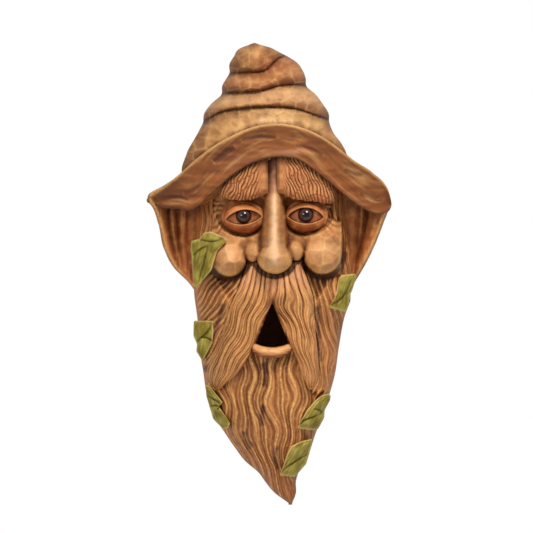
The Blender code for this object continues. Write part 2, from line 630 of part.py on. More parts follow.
def rod(name, radius, depth, collection, where, sides=20):
    """A round cutter along Y, from the back plane into the body."""
    mesh = bpy.data.meshes.new(name)
    shape = bmesh.new()
    bmesh.ops.create_cone(shape, cap_ends=True, segments=sides, radius1=radius, radius2=radius, depth=depth)
    bmesh.ops.rotate(shape, verts=shape.verts, matrix=Matrix.Rotation(math.pi / 2, 3, "X"))
    shape.to_mesh(mesh)
    shape.free()
    made = object_from(name, mesh, collection)
    made.location = where
    return cutter(made)


def thumb_notch(collection):
    """A scoop at the panel's top edge, to lift the panel by."""
    past = CUT_PAST * UNIT
    top = panel_middle()[1] + PANEL_HEIGHT / 2
    middle_y = (past - THUMB_NOTCH_DEPTH) / 2
    return rod("thumb_notch", THUMB_NOTCH_RADIUS, past + THUMB_NOTCH_DEPTH, collection, (0, middle_y, top))


def hanging_slot(collection):
    """A keyhole slot: the screw's head goes in below and the shank slides up the narrow slot."""
    past = CUT_PAST * UNIT
    slot_top = -HANGER_ABOVE_SLOT
    shank_middle = slot_top - SCREW_SHANK_SLOT / 2
    entry = shank_middle - SLOT_TRAVEL
    deep = past + SLOT_DEPTH
    middle = (0, (shank_middle + entry) / 2)
    hole_middle = (0, (past - SLOT_DEPTH) / 2, entry)
    entry_hole = rod("screw_entry", SCREW_HEAD_HOLE / 2, deep, collection, hole_middle)
    shank = slab("shank_slot", SCREW_SHANK_SLOT, SLOT_TRAVEL + SCREW_SHANK_SLOT,
                 SLOT_ROUNDING * SCREW_SHANK_SLOT, middle, -past, SLOT_LIP + past / 2, collection)
    head = slab("head_channel", SCREW_HEAD_CHANNEL, SLOT_TRAVEL + SCREW_HEAD_CHANNEL,
                SLOT_ROUNDING * SCREW_HEAD_CHANNEL, middle, SLOT_LIP, SLOT_DEPTH, collection)
    return [entry_hole, cutter(shank), cutter(head)]


def ball(name, radius, middle, collection, segments=32, rings=20):
    mesh = bpy.data.meshes.new(name)
    shape = bmesh.new()
    bmesh.ops.create_uvsphere(shape, u_segments=segments, v_segments=rings, radius=radius)
    bmesh.ops.rotate(shape, verts=shape.verts, matrix=Matrix.Rotation(math.pi / 2, 3, "X"))
    shape.to_mesh(mesh)
    shape.free()
    mesh.shade_smooth()
    made = object_from(name, mesh, collection)
    made.location = middle
    return made


def build():
    tidy_scene()
    parts = new_collection("tree_face_birdhouse")
    tools = new_collection("cutters")
    resin = material("painted_resin", (0.40, 0.20, 0.09), 0.55)
    plain = material("plain_resin", (0.16, 0.08, 0.04), 0.6)
    glass = material("dark_bead", (0.02, 0.015, 0.018), 0.08)

    body = carve_body(parts)
    body.data.materials.append(resin)
    for item in leaves(tools):
        boolean(body, item, "UNION")
    for item in [cavity(tools), mouth(tools), *panel_cuts(tools), *hanging_slot(tools)]:
        boolean(body, item, "DIFFERENCE")

    for name, spot in (("eye_left", LEFT_EYE), ("eye_right", RIGHT_EYE)):
        middle = place(*spot, EYE_DEPTH)
        pocket = cutter(ball(name + "_pocket", EYE_RADIUS + EYE_CLEARANCE, middle, tools, 16, 10))
        boolean(body, pocket, "DIFFERENCE")
        ball(name, EYE_RADIUS, middle, parts, 20, 12).data.materials.append(glass)

    panel = slab("back_panel", PANEL_WIDTH, PANEL_HEIGHT, PANEL_CORNER, panel_middle(),
                 0, PANEL_THICKNESS, parts)
    panel.data.materials.append(plain)
    return body


build()
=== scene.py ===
"""The looks of the tree spirit birdhouse: its carved and painted surface, its leaves and its glossy eyes.

Carved shapes are in hundredths of the height. x runs to the viewer's right, z up from the beard's tip,
and depth is the distance from the flat back. The frame has the same shapes, plainer.
"""
import math

import bmesh
import bpy
import numpy as np
from mathutils import Matrix, Vector


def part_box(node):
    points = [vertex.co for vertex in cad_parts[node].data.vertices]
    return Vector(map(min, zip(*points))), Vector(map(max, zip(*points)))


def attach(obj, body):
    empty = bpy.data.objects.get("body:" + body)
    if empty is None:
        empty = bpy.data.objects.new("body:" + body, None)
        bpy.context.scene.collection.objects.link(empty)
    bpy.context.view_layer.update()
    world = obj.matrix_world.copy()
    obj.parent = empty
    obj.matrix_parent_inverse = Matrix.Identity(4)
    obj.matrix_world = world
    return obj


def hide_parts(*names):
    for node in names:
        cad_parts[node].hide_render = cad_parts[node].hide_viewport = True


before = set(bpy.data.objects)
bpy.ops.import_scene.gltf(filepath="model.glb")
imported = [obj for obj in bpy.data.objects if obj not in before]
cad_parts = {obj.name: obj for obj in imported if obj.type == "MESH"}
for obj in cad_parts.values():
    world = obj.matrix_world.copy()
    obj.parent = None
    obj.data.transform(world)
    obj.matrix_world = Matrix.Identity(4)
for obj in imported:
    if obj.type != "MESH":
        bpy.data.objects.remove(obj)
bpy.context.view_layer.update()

# Sizes in metres
HEIGHT = 0.400
WALL = 0.008
BACK_WALL = 0.009
MOUTH_WIDTH = 0.033
MOUTH_HEIGHT = 0.040
PANEL_MARGIN = 0.0005
PANEL_LEDGE = 0.004
PANEL_CORNER = 0.010
THUMB_NOTCH_RADIUS = 0.008
THUMB_NOTCH_DEPTH = 0.003
SCREW_HEAD_HOLE = 0.011
SCREW_HEAD_CHANNEL = 0.0108
SCREW_SHANK_SLOT = 0.005
SLOT_TRAVEL = 0.012
SLOT_LIP = 0.004
SLOT_DEPTH = 0.010
HANGER_ABOVE_SLOT = 0.006
LEAF_THICKNESS = 0.0045

# Carved sizes, in hundredths of the height
UNIT = HEIGHT / 100
HANGER_LEVEL = 90.0
CAVITY_FLOOR = 17.0
CAVITY_TOP = 82.0
MOUTH_TOP = 43.7
DEEPEST_CARVING = 1.6
CUT_PAST = 1.0
PAST = CUT_PAST * UNIT
SLOT_ROUNDING = 0.49
STEEP = 12
HEAD_ROUNDNESS = 2.2
NEAR_ROWS = 2
SHARP_DEGREES = 62
# Places this near the back count as on it, and paint this pale is a wall that a cut opened
ON_BACK = 0.1
UNPAINTED = 0.95
# How fast the brush streaks change: on skin and felt, and across and along the strands of hair
STREAKS = 0.25
STRAND_STREAKS = (2.2, 0.3)


def curve(*points):
    """A smooth curve through (at, value) points, level beyond both ends."""
    at, value = np.array(sorted(points), float).T
    slope = np.gradient(value, at)

    def read(where):
        where = np.clip(where, at[0], at[-1])
        left = np.clip(np.searchsorted(at, where, side="right") - 1, 0, len(at) - 2)
        step = at[left + 1] - at[left]
        t = (where - at[left]) / step
        start = value[left] * (1 + 2 * t) + slope[left] * step * t
        end = value[left + 1] * (3 - 2 * t) - slope[left + 1] * step * (1 - t)
        return start * (1 - t) ** 2 + end * t ** 2

    return read


def ease(low, high, value):
    """0 below low, 1 above high and smooth between them."""
    t = np.clip((value - low) / (high - low), 0, 1)
    return t * t * (3 - 2 * t)


def join(a, b, blend=0.4):
    """The higher of two surfaces, with a soft seam."""
    near = np.clip(blend - np.abs(a - b), 0, None) / blend
    return np.maximum(a, b) + near * near * blend / 4


def reach_from(x, z, middle, radii=(1, 1)):
    """The distance from a middle, where 1 is the given radii."""
    return np.hypot((x - middle[0]) / radii[0], (z - middle[1]) / radii[1])


def dome(x, z, middle, radii, top, rise, power):
    """A rounded mass whose rim is rise below its top. Outside the rim it falls away steeply."""
    across, up = np.abs(x - middle[0]) / radii[0], np.abs(z - middle[1]) / radii[1]
    reach = (across ** power + up ** power) ** (1 / power)
    return top - rise + rise * np.sqrt(np.clip(1 - reach ** 2, 0, None)) - STEEP * np.clip(reach - 1, 0, None)


def mound(x, z, middle, radii, ground, rise, foot):
    """A swelling on the ground, left steeply where foot is a half and softly where foot is over 1."""
    reach = reach_from(x, z, middle, radii)
    return ground + rise * np.clip(1 - reach ** 2, 0, None) ** foot - STEEP * np.clip(reach - 1, 0, None)


def path_places(path, share):
    """Places on a smooth curve through a path's points, at shares that count the points passed."""
    points = np.array(path, float)
    return np.stack([curve(*enumerate(points[:, k]))(share) for k in (0, 1)], 1)


def near_path(x, z, path, pieces=6):
    """The distance from a smooth path, and the share of the path that is passed there."""
    last = len(path) - 1
    line = path_places(path, np.linspace(0, last, last * pieces + 1))
    best, along = np.full(x.shape, np.inf), np.zeros(x.shape)
    for i, (start, step) in enumerate(zip(line[:-1], np.diff(line, axis=0))):
        t = np.clip(((x - start[0]) * step[0] + (z - start[1]) * step[1]) / (step @ step), 0, 1)
        distance = np.hypot(x - start[0] - t * step[0], z - start[1] - t * step[1])
        along = np.where(distance < best, (i + t) / (len(line) - 1), along)
        best = np.minimum(best, distance)
    return best, along


def groove(x, z, path, width, depth):
    """A rounded groove along a path, running out at both ends."""
    distance, along = near_path(x, z, path)
    return -depth * np.exp(-(distance / width) ** 2) * np.sqrt(np.clip(4 * along * (1 - along), 0, 1))


def section(x, left, right, power):
    """1 in the middle of a D-shaped section and 0 at its two sides."""
    t = np.abs(2 * x - left - right) / (right - left)
    return np.clip(1 - t ** power, 0, None) ** (1 / power)


def gouges(phase):
    """Scooped cuts side by side: 1 on the sharp crests between them, at whole phases, and 0 in each cut."""
    return (2 * (phase - np.floor(phase)) - 1) ** 2


def rounded_edge(inset, radius):
    """1 well inside an edge, falling as a quarter circle to 0 on it."""
    return np.sqrt(np.clip(1 - (1 - np.clip(inset / radius, 0, 1)) ** 2, 0, 1))


def bell(distance, width):
    """1 at no distance, falling softly to nothing past about twice the width."""
    return np.exp(-(distance / width) ** 2)


def wander(x, z, across, up, seed):
    """Seeded smooth unevenness between -1 and 1, with patches of about the given size."""
    table = np.random.default_rng(seed).uniform(-1, 1, (64, 64))
    u, v = x / across + 23.4, z / up + 11.7
    i, j = np.floor(u).astype(int), np.floor(v).astype(int)
    s, t = ease(0, 1, u - i), ease(0, 1, v - j)
    low = table[i % 64, j % 64] * (1 - s) + table[(i + 1) % 64, j % 64] * s
    high = table[i % 64, (j + 1) % 64] * (1 - s) + table[(i + 1) % 64, (j + 1) % 64] * s
    return low * (1 - t) + high * t


def whittled(x, z, size, seed):
    """Knife facets: how far a place is from its facet's middle, and 1 on the ridges between facets."""
    table = np.random.default_rng(seed).uniform(-0.36, 0.36, (2, 64, 64))
    u, v = x / size + 19.5, z / size + 7.5
    i, j = np.floor(u).astype(int), np.floor(v).astype(int)
    nearest, second = np.full(u.shape, 9.0), np.full(u.shape, 9.0)
    for across in (-1, 0, 1):
        for up in (-1, 0, 1):
            a, b = i + across, j + up
            du = a + 0.5 + table[0, a % 64, b % 64] - u
            dv = b + 0.5 + table[1, a % 64, b % 64] - v
            distance = np.hypot(du, dv)
            second = np.minimum(second, np.maximum(nearest, distance))
            nearest = np.minimum(nearest, distance)
    return nearest * size, bell((second - nearest) * size, 0.28)


def blur(field, reach):
    """The field averaged over the rows and columns around each point."""
    for axis in (0, 1, 0, 1):
        edges = [(reach, reach) if axis == k else (0, 0) for k in (0, 1)]
        total = np.cumsum(np.pad(field, edges, "edge"), axis)
        total = np.concatenate([np.zeros_like(total.take([0], axis)), total], axis)
        count = 2 * reach + 1
        stop = total.shape[axis]
        field = (total.take(range(count, stop), axis) - total.take(range(stop - count), axis)) / count
    return field


# Outlines, as (height, side) points
HEAD_LEFT = curve((0.3, 3.6), (2.5, 0.6), (5, -1.5), (6.8, -2.8), (9.4, -5.8), (12, -7.8), (14.6, -9.6),
    (19, -12.4), (24, -14.2), (28, -14.8), (34, -15.7), (40.5, -16.2), (46, -16.9), (52, -16.9),
    (62, -16.2), (80, -13.5))
HEAD_RIGHT = curve((0.3, 4.4), (2.5, 5.2), (5, 5.2), (7, 5.8), (10, 7.6), (14.6, 9.2), (19, 10.8),
    (24, 12.5), (28, 13.6), (34, 14.5), (40.5, 15.7), (46, 17.5), (52, 17.4), (62, 16.3), (80, 13.5))
HAT_LEFT = curve((46, -16.4), (48.3, -18.4), (51.3, -21.4), (55.2, -23.5), (61.2, -24.9), (64.3, -26.0),
    (66, -27.1), (67.3, -26.8), (69.2, -23.5), (71, -21.0), (73.3, -20.4), (78.3, -18.4), (81.1, -16.4),
    (82.8, -15.1), (84.8, -14.7), (86.9, -13.2), (88.9, -11.0), (90.8, -10.8), (92.4, -9.9), (93.4, -9.3),
    (95.6, -9.2), (97.3, -8.2), (98.7, -7.3), (99.7, -5.4))
HAT_RIGHT = curve((46, 17.0), (48.3, 18.2), (51.3, 20.0), (55.2, 22.0), (61.2, 24.4), (64.3, 25.5),
    (66, 25.8), (68.1, 25.3), (71.2, 22.2), (73.3, 19.7), (75.1, 17.8), (78.3, 16.0), (81.1, 13.6),
    (83, 12.5), (84.8, 12.3), (86.9, 11.0), (89.1, 9.3), (90.6, 7.6), (92.5, 7.3), (94.1, 6.7), (96.2, 5.0),
    (98, 1.8), (99.2, -0.6), (99.7, -2.2))
HAT_FOOT = 46.3
CROWN_WIDEST = (-20.5, 17.6)

# The hat
CROWN_DEPTH = curve((46, 20), (72, 22.5), (78, 21.5), (83, 18.6), (86, 17.6), (89, 15), (92, 13.2),
    (94, 12), (97, 10), (99.7, 6))
CROWN_CREASES = (
    curve((-15.5, 82.6), (-11.3, 84.8), (-5.6, 85.7), (0.2, 86), (5.5, 85.5), (9, 84.4), (13, 83.2)),
    curve((-11.2, 89.1), (-6.5, 89.2), (-3.3, 89.4), (-1.2, 89.8), (1, 90.5), (2.9, 90.8), (8, 90.8)),
    curve((-9.6, 93.4), (-4.8, 93.6), (-2.3, 93.7), (-0.9, 94.3), (0.2, 95.5), (1.7, 96.8), (3, 97.4)),
)
CROWN_RISES = (1.9, 2.1, 1.8)
CROWN_TOP = 99.98
FOLD_REACH = 104.0
BRIM_TOP = curve((-27.1, 66.2), (-20.3, 71.2), (-16.7, 74.4), (-12.4, 77.6), (-8.4, 79.8), (-3.5, 81.7),
    (2.3, 82.2), (7.3, 81.1), (10.9, 79.4), (14.5, 76.9), (17.7, 74.4), (21.6, 71.9), (25.2, 67.9),
    (25.8, 66.5))
BRIM_FOOT = curve((-27.1, 65.7), (-23.8, 64.3), (-20, 64), (-17.7, 63.6), (-16, 64.4), (-14.2, 66.2),
    (-11.7, 68.4), (-8.4, 71.2), (-5.2, 73.3), (-1.7, 74.6), (2.3, 75.1), (5.8, 74.4), (9.5, 71.9),
    (12.7, 69.4), (16.2, 66.5), (19.9, 64), (22.7, 62.9), (25.8, 63.6))
BRIM_DEPTH = curve((-27.1, 10), (-23, 13.5), (-18, 17.5), (-12, 21.8), (-6, 24.6), (1, 25.6), (8, 24.2),
    (14, 20.8), (20, 16), (25.8, 11))
BRIM_ENDS = (-27.1, 25.8)
FLAP_DEPTH = curve((46, 5), (50, 6.5), (56, 8.5), (62, 10.5), (66, 11.5), (70, 12.5), (76, 14))
FLAP_FOLDS = (
    ([(-22.6, 66), (-21.8, 58), (-19.6, 50)], 1.3),
    ([(-20.4, 66), (-20.1, 57), (-18.7, 49.5)], 1.0),
    ([(-18.2, 66), (-18.1, 56), (-17.6, 49)], 0.8),
    ([(20.6, 66), (20.0, 60), (17.2, 49)], 1.3),
    ([(18.6, 66), (18.3, 57), (17.6, 50)], 0.8),
    ([(23.2, 64), (22.0, 57), (20.0, 51.5)], 0.6),
)
# Chisel dents in the brim, as path, width and depth
BRIM_DENTS = (
    ([(-6.5, 78.6), (-3, 79.5), (1, 79.2)], 0.45, 0.5),
    ([(-12.5, 74), (-10, 76), (-8, 77.2)], 0.6, 0.6),
    ([(15.5, 72.5), (17.5, 71.6), (19.5, 71)], 0.45, 0.5),
    ([(5.0, 77.5), (8.5, 76.8), (11, 75.5)], 0.4, 0.35),
    ([(-19, 67.2), (-16.5, 68.5), (-14.5, 70.5)], 0.5, 0.4),
    ([(19.0, 67.5), (21.5, 66.5), (24, 65.8)], 0.5, 0.4),
    ([(-24.5, 66.2), (-21, 66.6), (-18, 66)], 0.4, 0.4),
)

# The face
FACE_DEPTH = curve((40, 14), (46, 18), (52, 19), (60, 18.8), (68, 19.5), (76, 19.5), (80, 18))
LEFT_EYE, RIGHT_EYE = (-6.1, 62.5), (7.25, 62.75)
EYE_RADIUS = 1.75
EYE_DEPTH = 19.25
BROW_FOOT = curve((-11.4, 66.4), (-8, 65.9), (-4, 66.1), (-1, 67.2), (1.7, 67.4), (4, 66.3), (9, 65.6),
    (12.5, 65.2), (14, 66))
BROW_DEPTH = curve((-12, 18.4), (-9, 21.4), (-5, 22.9), (-1, 23.1), (2, 23.1), (6, 23), (11, 21), (14, 18))
BROW_SIDES = {"left": (-11.5, -0.8), "right": (1.0, 13.7)}

# The hair
HAIR_DEPTH = curve((0, 2.6), (1.5, 4.2), (5, 7.2), (10, 10.5), (16, 13.5), (22, 15.8), (28, 17.2), (34, 18),
    (45, 18.5), (52, 18), (60, 17), (70, 16))
MOUSTACHE_PROUD = curve((22, 1.6), (26, 2.6), (32, 3.4), (40, 4.0), (46, 4.6), (52, 4.2))
SIDE_HAIR_BAND = curve((40, 9), (46, 6.5), (50, 4.6), (58, 3.2), (70, 2.6))
BEARD_MIDDLE = curve((0, 4.0), (6, 2.4), (12, 0.9), (20, 0), (34, 0.2))
BEARD_SPACING = curve((0, 1.2), (8, 1.5), (20, 2.1), (40, 2.3))
SIDE_SPACING = 1.3
LEFT_SLANT = curve((22, -16.5), (30, -13.5), (38, -9.5), (44, -5.5), (50, -1), (56, 1), (70, 1.5))
RIGHT_SLANT = curve((22, 2.6), (27, 3.8), (33, 3.9), (38, 2.8), (43, 1.2), (48, 0.3), (56, 0), (70, -1.5))
PLUM_CHANNELS = (
    [(-1.9, 21.3), (-2.2, 19.6), (-2.0, 17.8)],
    [(-6.0, 15.6), (-5.6, 14.2), (-4.8, 12.8)],
    [(0.9, 12.2), (0.6, 10.4), (1.2, 8.3)],
    [(-2.0, 30.6), (-1.4, 28.6), (-1.7, 26.2)],
    [(9.6, 42.5), (9.9, 37), (10.4, 31.5)],
    [(-10.6, 43), (-12.2, 38), (-13.6, 34.6)],
)
MOUTH_HALF = MOUTH_WIDTH / 2 / UNIT
MOUTH_DROP = MOUTH_HEIGHT / UNIT
MOUTH_FOOT = MOUTH_TOP - MOUTH_DROP
MOUTH_WIDEST = 0.84
LOCKS = {
    "left": (
        curve((25.0, -11.9), (25.8, -12.9), (28, -14.2), (29.9, -14.8), (31, -14.3), (33.2, -12.7),
              (36.6, -11.1), (39.2, -10.3), (41.8, -9.4), (44.4, -8.4), (47, -7.2), (51, -5.8), (53, -5.2)),
        curve((25.0, -11.3), (26.5, -9.9), (28.4, -7.7), (30.3, -6.2), (32.1, -5.2), (33.4, -4.6),
              (36.8, -3.2), (40.5, -1.7), (43.7, -0.1), (46.5, 0.5), (53, 0.6)), 6),
    "right": (
        curve((25.0, 8.0), (25.8, 7.6), (28.4, 6.5), (31.8, 5.3), (33.6, 4.5), (36.8, 3.2), (40.5, 1.7),
              (43.7, 0.3), (46.5, 0.2), (53, 0.5)),
        curve((25.0, 8.8), (26.5, 9.7), (28.8, 10.1), (32.5, 9.9), (38.5, 9.3), (41.8, 9.1), (45.2, 8.8),
              (48.5, 7.7), (51, 6.8), (53, 6.2)), 5),
}
LOCK_FOOT, LOCK_TOP = 25.0, 53.0


def linear(red, green, blue):
    """A colour given as 0 to 255 on a screen, as light."""
    value = np.array([red, green, blue]) / 255
    return np.where(value <= 0.04045, value / 12.92, ((value + 0.055) / 1.055) ** 2.4)


# Paints
SKIN = linear(190, 132, 84)
# Painted highlight on the cheeks, the nose and their facet ridges
SKIN_HIGHLIGHT = linear(230, 184, 138)
SKIN_RED = linear(184, 110, 66)
# A painted highlight along the nose's ridge
RIDGE_HIGHLIGHT = linear(228, 192, 160)
SKIN_SHADE = linear(128, 66, 36)
# Painted shade in the eye hollows and where the lids meet the ball
SOCKET_SHADE = linear(112, 54, 32)
EYE_WHITE = linear(158, 90, 54)
LID_RIM = linear(206, 130, 80)
LID_SHADE = linear(164, 90, 52)
BRIDGE_GREY = linear(146, 98, 82)
BROW = linear(174, 102, 64)
BROW_LIGHT = linear(208, 142, 100)
HAIR = linear(190, 126, 74)
HAIR_LOW = linear(162, 98, 56)
HAIR_SIDE = linear(198, 126, 72)
MOUSTACHE = linear(206, 144, 90)
MOUSTACHE_TOP = linear(214, 154, 112)
LIP = linear(216, 158, 108)
FELT = linear(196, 146, 92)
# Painted highlight on the crown, and painted shade on its sides and under its folds
FELT_HIGHLIGHT = linear(226, 184, 132)
FELT_SIDE_SHADE = linear(140, 86, 50)
FOLD_SHADE = linear(120, 66, 34)
FOLD_PAINTS = (linear(212, 162, 116), linear(186, 126, 82), linear(192, 140, 92))
BRIM = linear(152, 92, 52)
BRIM_DARK = linear(110, 64, 36)
FLAP = linear(206, 126, 72)
PLUM = linear(84, 56, 56)
# Near-black for the painted shadow close below the nose and the cheeks
SHADOW_BLACK = linear(36, 18, 14)
# Red-brown for uneven patches and between brow strokes, and for painted shade in the hollows
RUST_AND_SHADE = linear(128, 66, 34)
LEAF = linear(134, 118, 36)
LEAF_LIGHT = linear(162, 150, 68)
LEAF_DARK = linear(98, 84, 22)
LEAF_RIM = linear(206, 160, 100)
LEAF_BACK = linear(150, 110, 84)
INSIDE = linear(180, 76, 28)
BACK_BROWN = linear(104, 62, 36)
# Dark for washes and painted shade, light for dry brushing and painted highlight
WASH_AND_SHADE, HIGHLIGHT = linear(66, 36, 24), linear(226, 180, 116)
LEAF_WASH_AND_SHADE, LEAF_HIGHLIGHT = linear(58, 52, 18), linear(196, 196, 126)
BACK_LOW, BACK_HIGH = linear(124, 66, 34), linear(146, 82, 44)
BEAD_FLECK = linear(20, 12, 14)
# From the pupil's middle to the iris's rim
BEAD_RINGS = ((0.0, linear(12, 6, 8)), (0.4, linear(16, 8, 10)), (0.52, linear(76, 48, 44)),
              (0.76, linear(62, 38, 36)), (0.9, linear(24, 12, 14)))


def coated(paint, *coats):
    """A paint with others laid over it, each by a share from 0 to 1."""
    for colour, share in coats:
        share = np.clip(share, 0, 1)[..., None]
        paint = paint * (1 - share) + colour * share
    return paint


class Surface:
    """A carved surface: rows of places, their depth, their paint, and how dark washes with painted shade and
    dry brushing with painted highlight take there.
    """

    def __init__(self, x, z, depth, paint, wash_and_shade=0.0, crest=0.0, flow=None):
        self.x, self.z, self.depth, self.paint = x, z, depth, paint
        self.wash_and_shade, self.crest = wash_and_shade + np.zeros(x.shape), crest + np.zeros(x.shape)
        self.flow = np.stack(flow or (STREAKS * x, STREAKS * z), -1)

    def wash_shade_and_highlight(self, far, washed_and_shaded, brushed_and_lit):
        """Lays dark washes and painted shade in the hollows and dry brushing and painted highlight on the
        crests, by the surface's own relief.
        """
        close = blur(self.depth, NEAR_ROWS) - self.depth
        wide = blur(self.depth, far) - self.depth
        # Red-brown in the hollows: partly the paint's washes, partly painted shade
        self.paint = coated(self.paint, (RUST_AND_SHADE, 0.75 * washed_and_shaded * np.clip(0.8 * wide + 1.5 * close, 0, 1)))
        hollow = 2.6 * np.clip(close, 0, None) + 0.4 * np.clip(wide, 0, None)
        self.wash_and_shade = np.clip(self.wash_and_shade + washed_and_shaded * hollow, 0, 1)
        self.crest = np.clip(self.crest + brushed_and_lit * 3.5 * np.clip(-close - 0.02, 0, None), 0, 1)
        return self

    def coats(self):
        return self.paint, self.wash_and_shade, self.crest, self.flow


def to_metres(x, z, depth):
    x, z, depth = np.broadcast_arrays(x, z, depth)
    return np.stack([x * UNIT, -depth * UNIT, (z - HANGER_LEVEL) * UNIT], -1)


def level(z):
    """A carved height as a height above the hanger, in metres."""
    return (z - HANGER_LEVEL) * UNIT


def placed(name, data):
    """A new object in the scene."""
    made = bpy.data.objects.new(name, data)
    bpy.context.scene.collection.objects.link(made)
    return made


def ring_faces(levels, around):
    """The faces of a closed skin over rings of the same number of points, capped at both ends."""
    row, point = np.meshgrid(np.arange(levels - 1), np.arange(around), indexing="ij")
    following = (point + 1) % around
    skin = np.stack([row * around + point, row * around + following, (row + 1) * around + following,
                     (row + 1) * around + point], -1).reshape(-1, 4).tolist()
    return skin + [list(range(around))[::-1], list(range((levels - 1) * around, levels * around))]


def ring_piece(name, rings, paint, wash_and_shade, crest, flow=None):
    """A closed piece over rings of places, with what the paint's nodes read at each of them."""
    mesh = bpy.data.meshes.new(name)
    mesh.from_pydata(rings.reshape(-1, 3).tolist(), [], ring_faces(*rings.shape[:2]))
    mesh.update()
    if flow is not None:
        across = np.insert(flow.reshape(-1, 2), 2, 0, 1)
        mesh.attributes.new("flow", "FLOAT_VECTOR", "POINT").data.foreach_set("vector", across.ravel())
    opaque = np.insert(paint.reshape(-1, 3), 3, 1, 1)
    mesh.attributes.new("paint", "FLOAT_COLOR", "POINT").data.foreach_set("color", opaque.ravel())
    # Per point: how much dark washes and painted shade, and dry brushing and painted highlight, lie there
    for field, values in (("wash_and_shade", wash_and_shade), ("crest", crest)):
        mesh.attributes.new(field, "FLOAT", "POINT").data.foreach_set("value", values.ravel())
    return placed(name, mesh)


def padded(values, count):
    """The values with the first and last of each row repeated, for the places behind the front."""
    return np.concatenate([values[:, :1]] * count + [values] + [values[:, -1:]] * count, 1)


def solid(name, surface, back, hung=False):
    """A closed piece with a carved front, from one row of places to the next, and a plain back."""
    x, z, depth = surface.x, surface.z, surface.depth
    if hung:
        x = drawn_in(x, z, depth)
    surface.crest[:, [0, -1]] = 0
    back = np.broadcast_to(back, x[:, 0].shape)
    left, right = [to_metres(x[:, k], z[:, k], back)[:, None] for k in (0, -1)]
    rings = np.concatenate([left, to_metres(x, z, depth), right], 1)
    return ring_piece(name, rings, *[padded(coat, 1) for coat in surface.coats()])


def spread(levels, left, right, columns):
    """Rows and columns of places between two sides, closer together towards the sides."""
    angles = np.linspace(-math.pi / 2, math.pi / 2, columns)
    low, high = left(levels)[:, None], right(levels)[:, None]
    x = (low + high) / 2 + (high - low) / 2 * np.sin(angles)
    return x, np.repeat(levels[:, None], columns, 1)


# The head: face, side hair and beard
SKIN_GROUND = 18.7
RIDGE_MIDDLE = 0.5
RIDGE_RISE = curve((50, 9.6), (54, 9.2), (57, 7.6), (60, 6.0), (64, 4.6), (67, 3.6), (70, 2.6), (76, 2.2))
RIDGE_HALF = curve((50, 3.8), (54, 3.7), (57, 3.2), (60, 2.75), (64, 2.25), (68, 1.8), (76, 1.6))
# The masses, as middle, half-width and reach down, with the wings' and the cheeks' reach up
NOSE_BALL = ((0.6, 53.2), 3.9, 3.4)
NOSE_WINGS = (((-4.0, 54.8), 2.1, 2.5, 2.9), ((4.9, 55.1), 2.1, 2.5, 2.9))
CHEEKS = (((-9.1, 53.7), 3.9, 4.2, 5.4), ((10.8, 54.5), 4.2, 4.5, 5.4))
MASSES = (NOSE_BALL, *[mass[:3] for mass in (*NOSE_WINGS, *CHEEKS)])
BALL_RISE = 10.4
WING_RISE = 5.0
CHEEK_RISE = 5.4
FACE_MIDDLE = 0.9
FACE_EDGE = (13.7, 15.2)
FACE_FALL = 14
HOLLOW_RADII = (6.0, 4.9)
HOLLOW_RISE = 0.3
FACETS = (3.0, 5)
NOSE_FACETS = (2.4, 8)
FOLD_TURN = 0.23
BAG_DROP = 4.2
BAG_SIDES = (-4.2, -2, 0, 2, 4.2)
HEAD_LEVELS, HEAD_COLUMNS = 362, 244
HEAD_TOP = 77.5
TUCK = 2.7


def swelling(x, z, middle, half, down, up, sunk, proud, soft):
    """A round mass of skin, crisp below, that runs up softly into the skin above it."""
    rise = z - middle[1]
    radii = (half + 0.12 * np.clip(rise, 0, None), np.where(rise > 0, up, down))
    return mound(x, z, middle, radii, SKIN_GROUND - sunk, proud, 0.5 + 0.9 * ease(-0.5, soft, rise))


def nose(x, z):
    across = np.clip(np.abs(x - RIDGE_MIDDLE) / RIDGE_HALF(z), 0, None)
    ridge = SKIN_GROUND + RIDGE_RISE(z) * np.clip(1 - across ** 2, 0, None) ** 0.85
    ridge = ridge - STEEP * np.clip(across - 1, 0, None) - 40 * (1 - ease(44, 54, z))
    middle, *radii = NOSE_BALL
    ball = mound(x, z, middle, radii, SKIN_GROUND, BALL_RISE, 0.5)
    wings = np.maximum(*[swelling(x, z, *wing, 0.4, WING_RISE, 2.5) for wing in NOSE_WINGS])
    return join(join(ridge, ball, 3.2), wings, 2.6)


def eye_hollows(x, z):
    hollows = 0
    for middle in (LEFT_EYE, RIGHT_EYE):
        across, up = (x - middle[0]) / HOLLOW_RADII[0], (z - middle[1] - HOLLOW_RISE) / HOLLOW_RADII[1]
        hollows = hollows + np.sqrt(np.clip(1 - across ** 2 - up ** 2, 0, None))
    return hollows


def crows_feet(x, z):
    """Wavy folds that spread from the outer corner of each eye, and 1 along their crests."""
    relief, crests = 0, 0
    for side, middle in ((-1, LEFT_EYE), (1, RIGHT_EYE)):
        out, up = side * (x - middle[0]), z - middle[1] + 0.4
        reach, turn = np.hypot(out, up), np.arctan2(up, out)
        inside = ease(4.4, 5.4, reach) * ease(9.4, 7.6, reach) * (out > 0)
        inside = inside * ease(0.75, 0.5, np.abs(turn - 0.05))
        folds = 1 - gouges(turn / FOLD_TURN + 0.35 * np.sin(1.1 * reach) + 0.3 * wander(x, z, 1.6, 1.6, 6))
        relief = relief + (0.52 * folds - 0.26) * inside
        crests = crests + folds ** 6 * inside
    return relief, crests


def bags(x, z):
    lines = 0
    for middle in (LEFT_EYE, RIGHT_EYE):
        bag = [(middle[0] + a, middle[1] - BAG_DROP + 0.13 * a ** 2) for a in BAG_SIDES]
        lines = lines + groove(x, z, bag, 0.45, 0.6)
    return lines


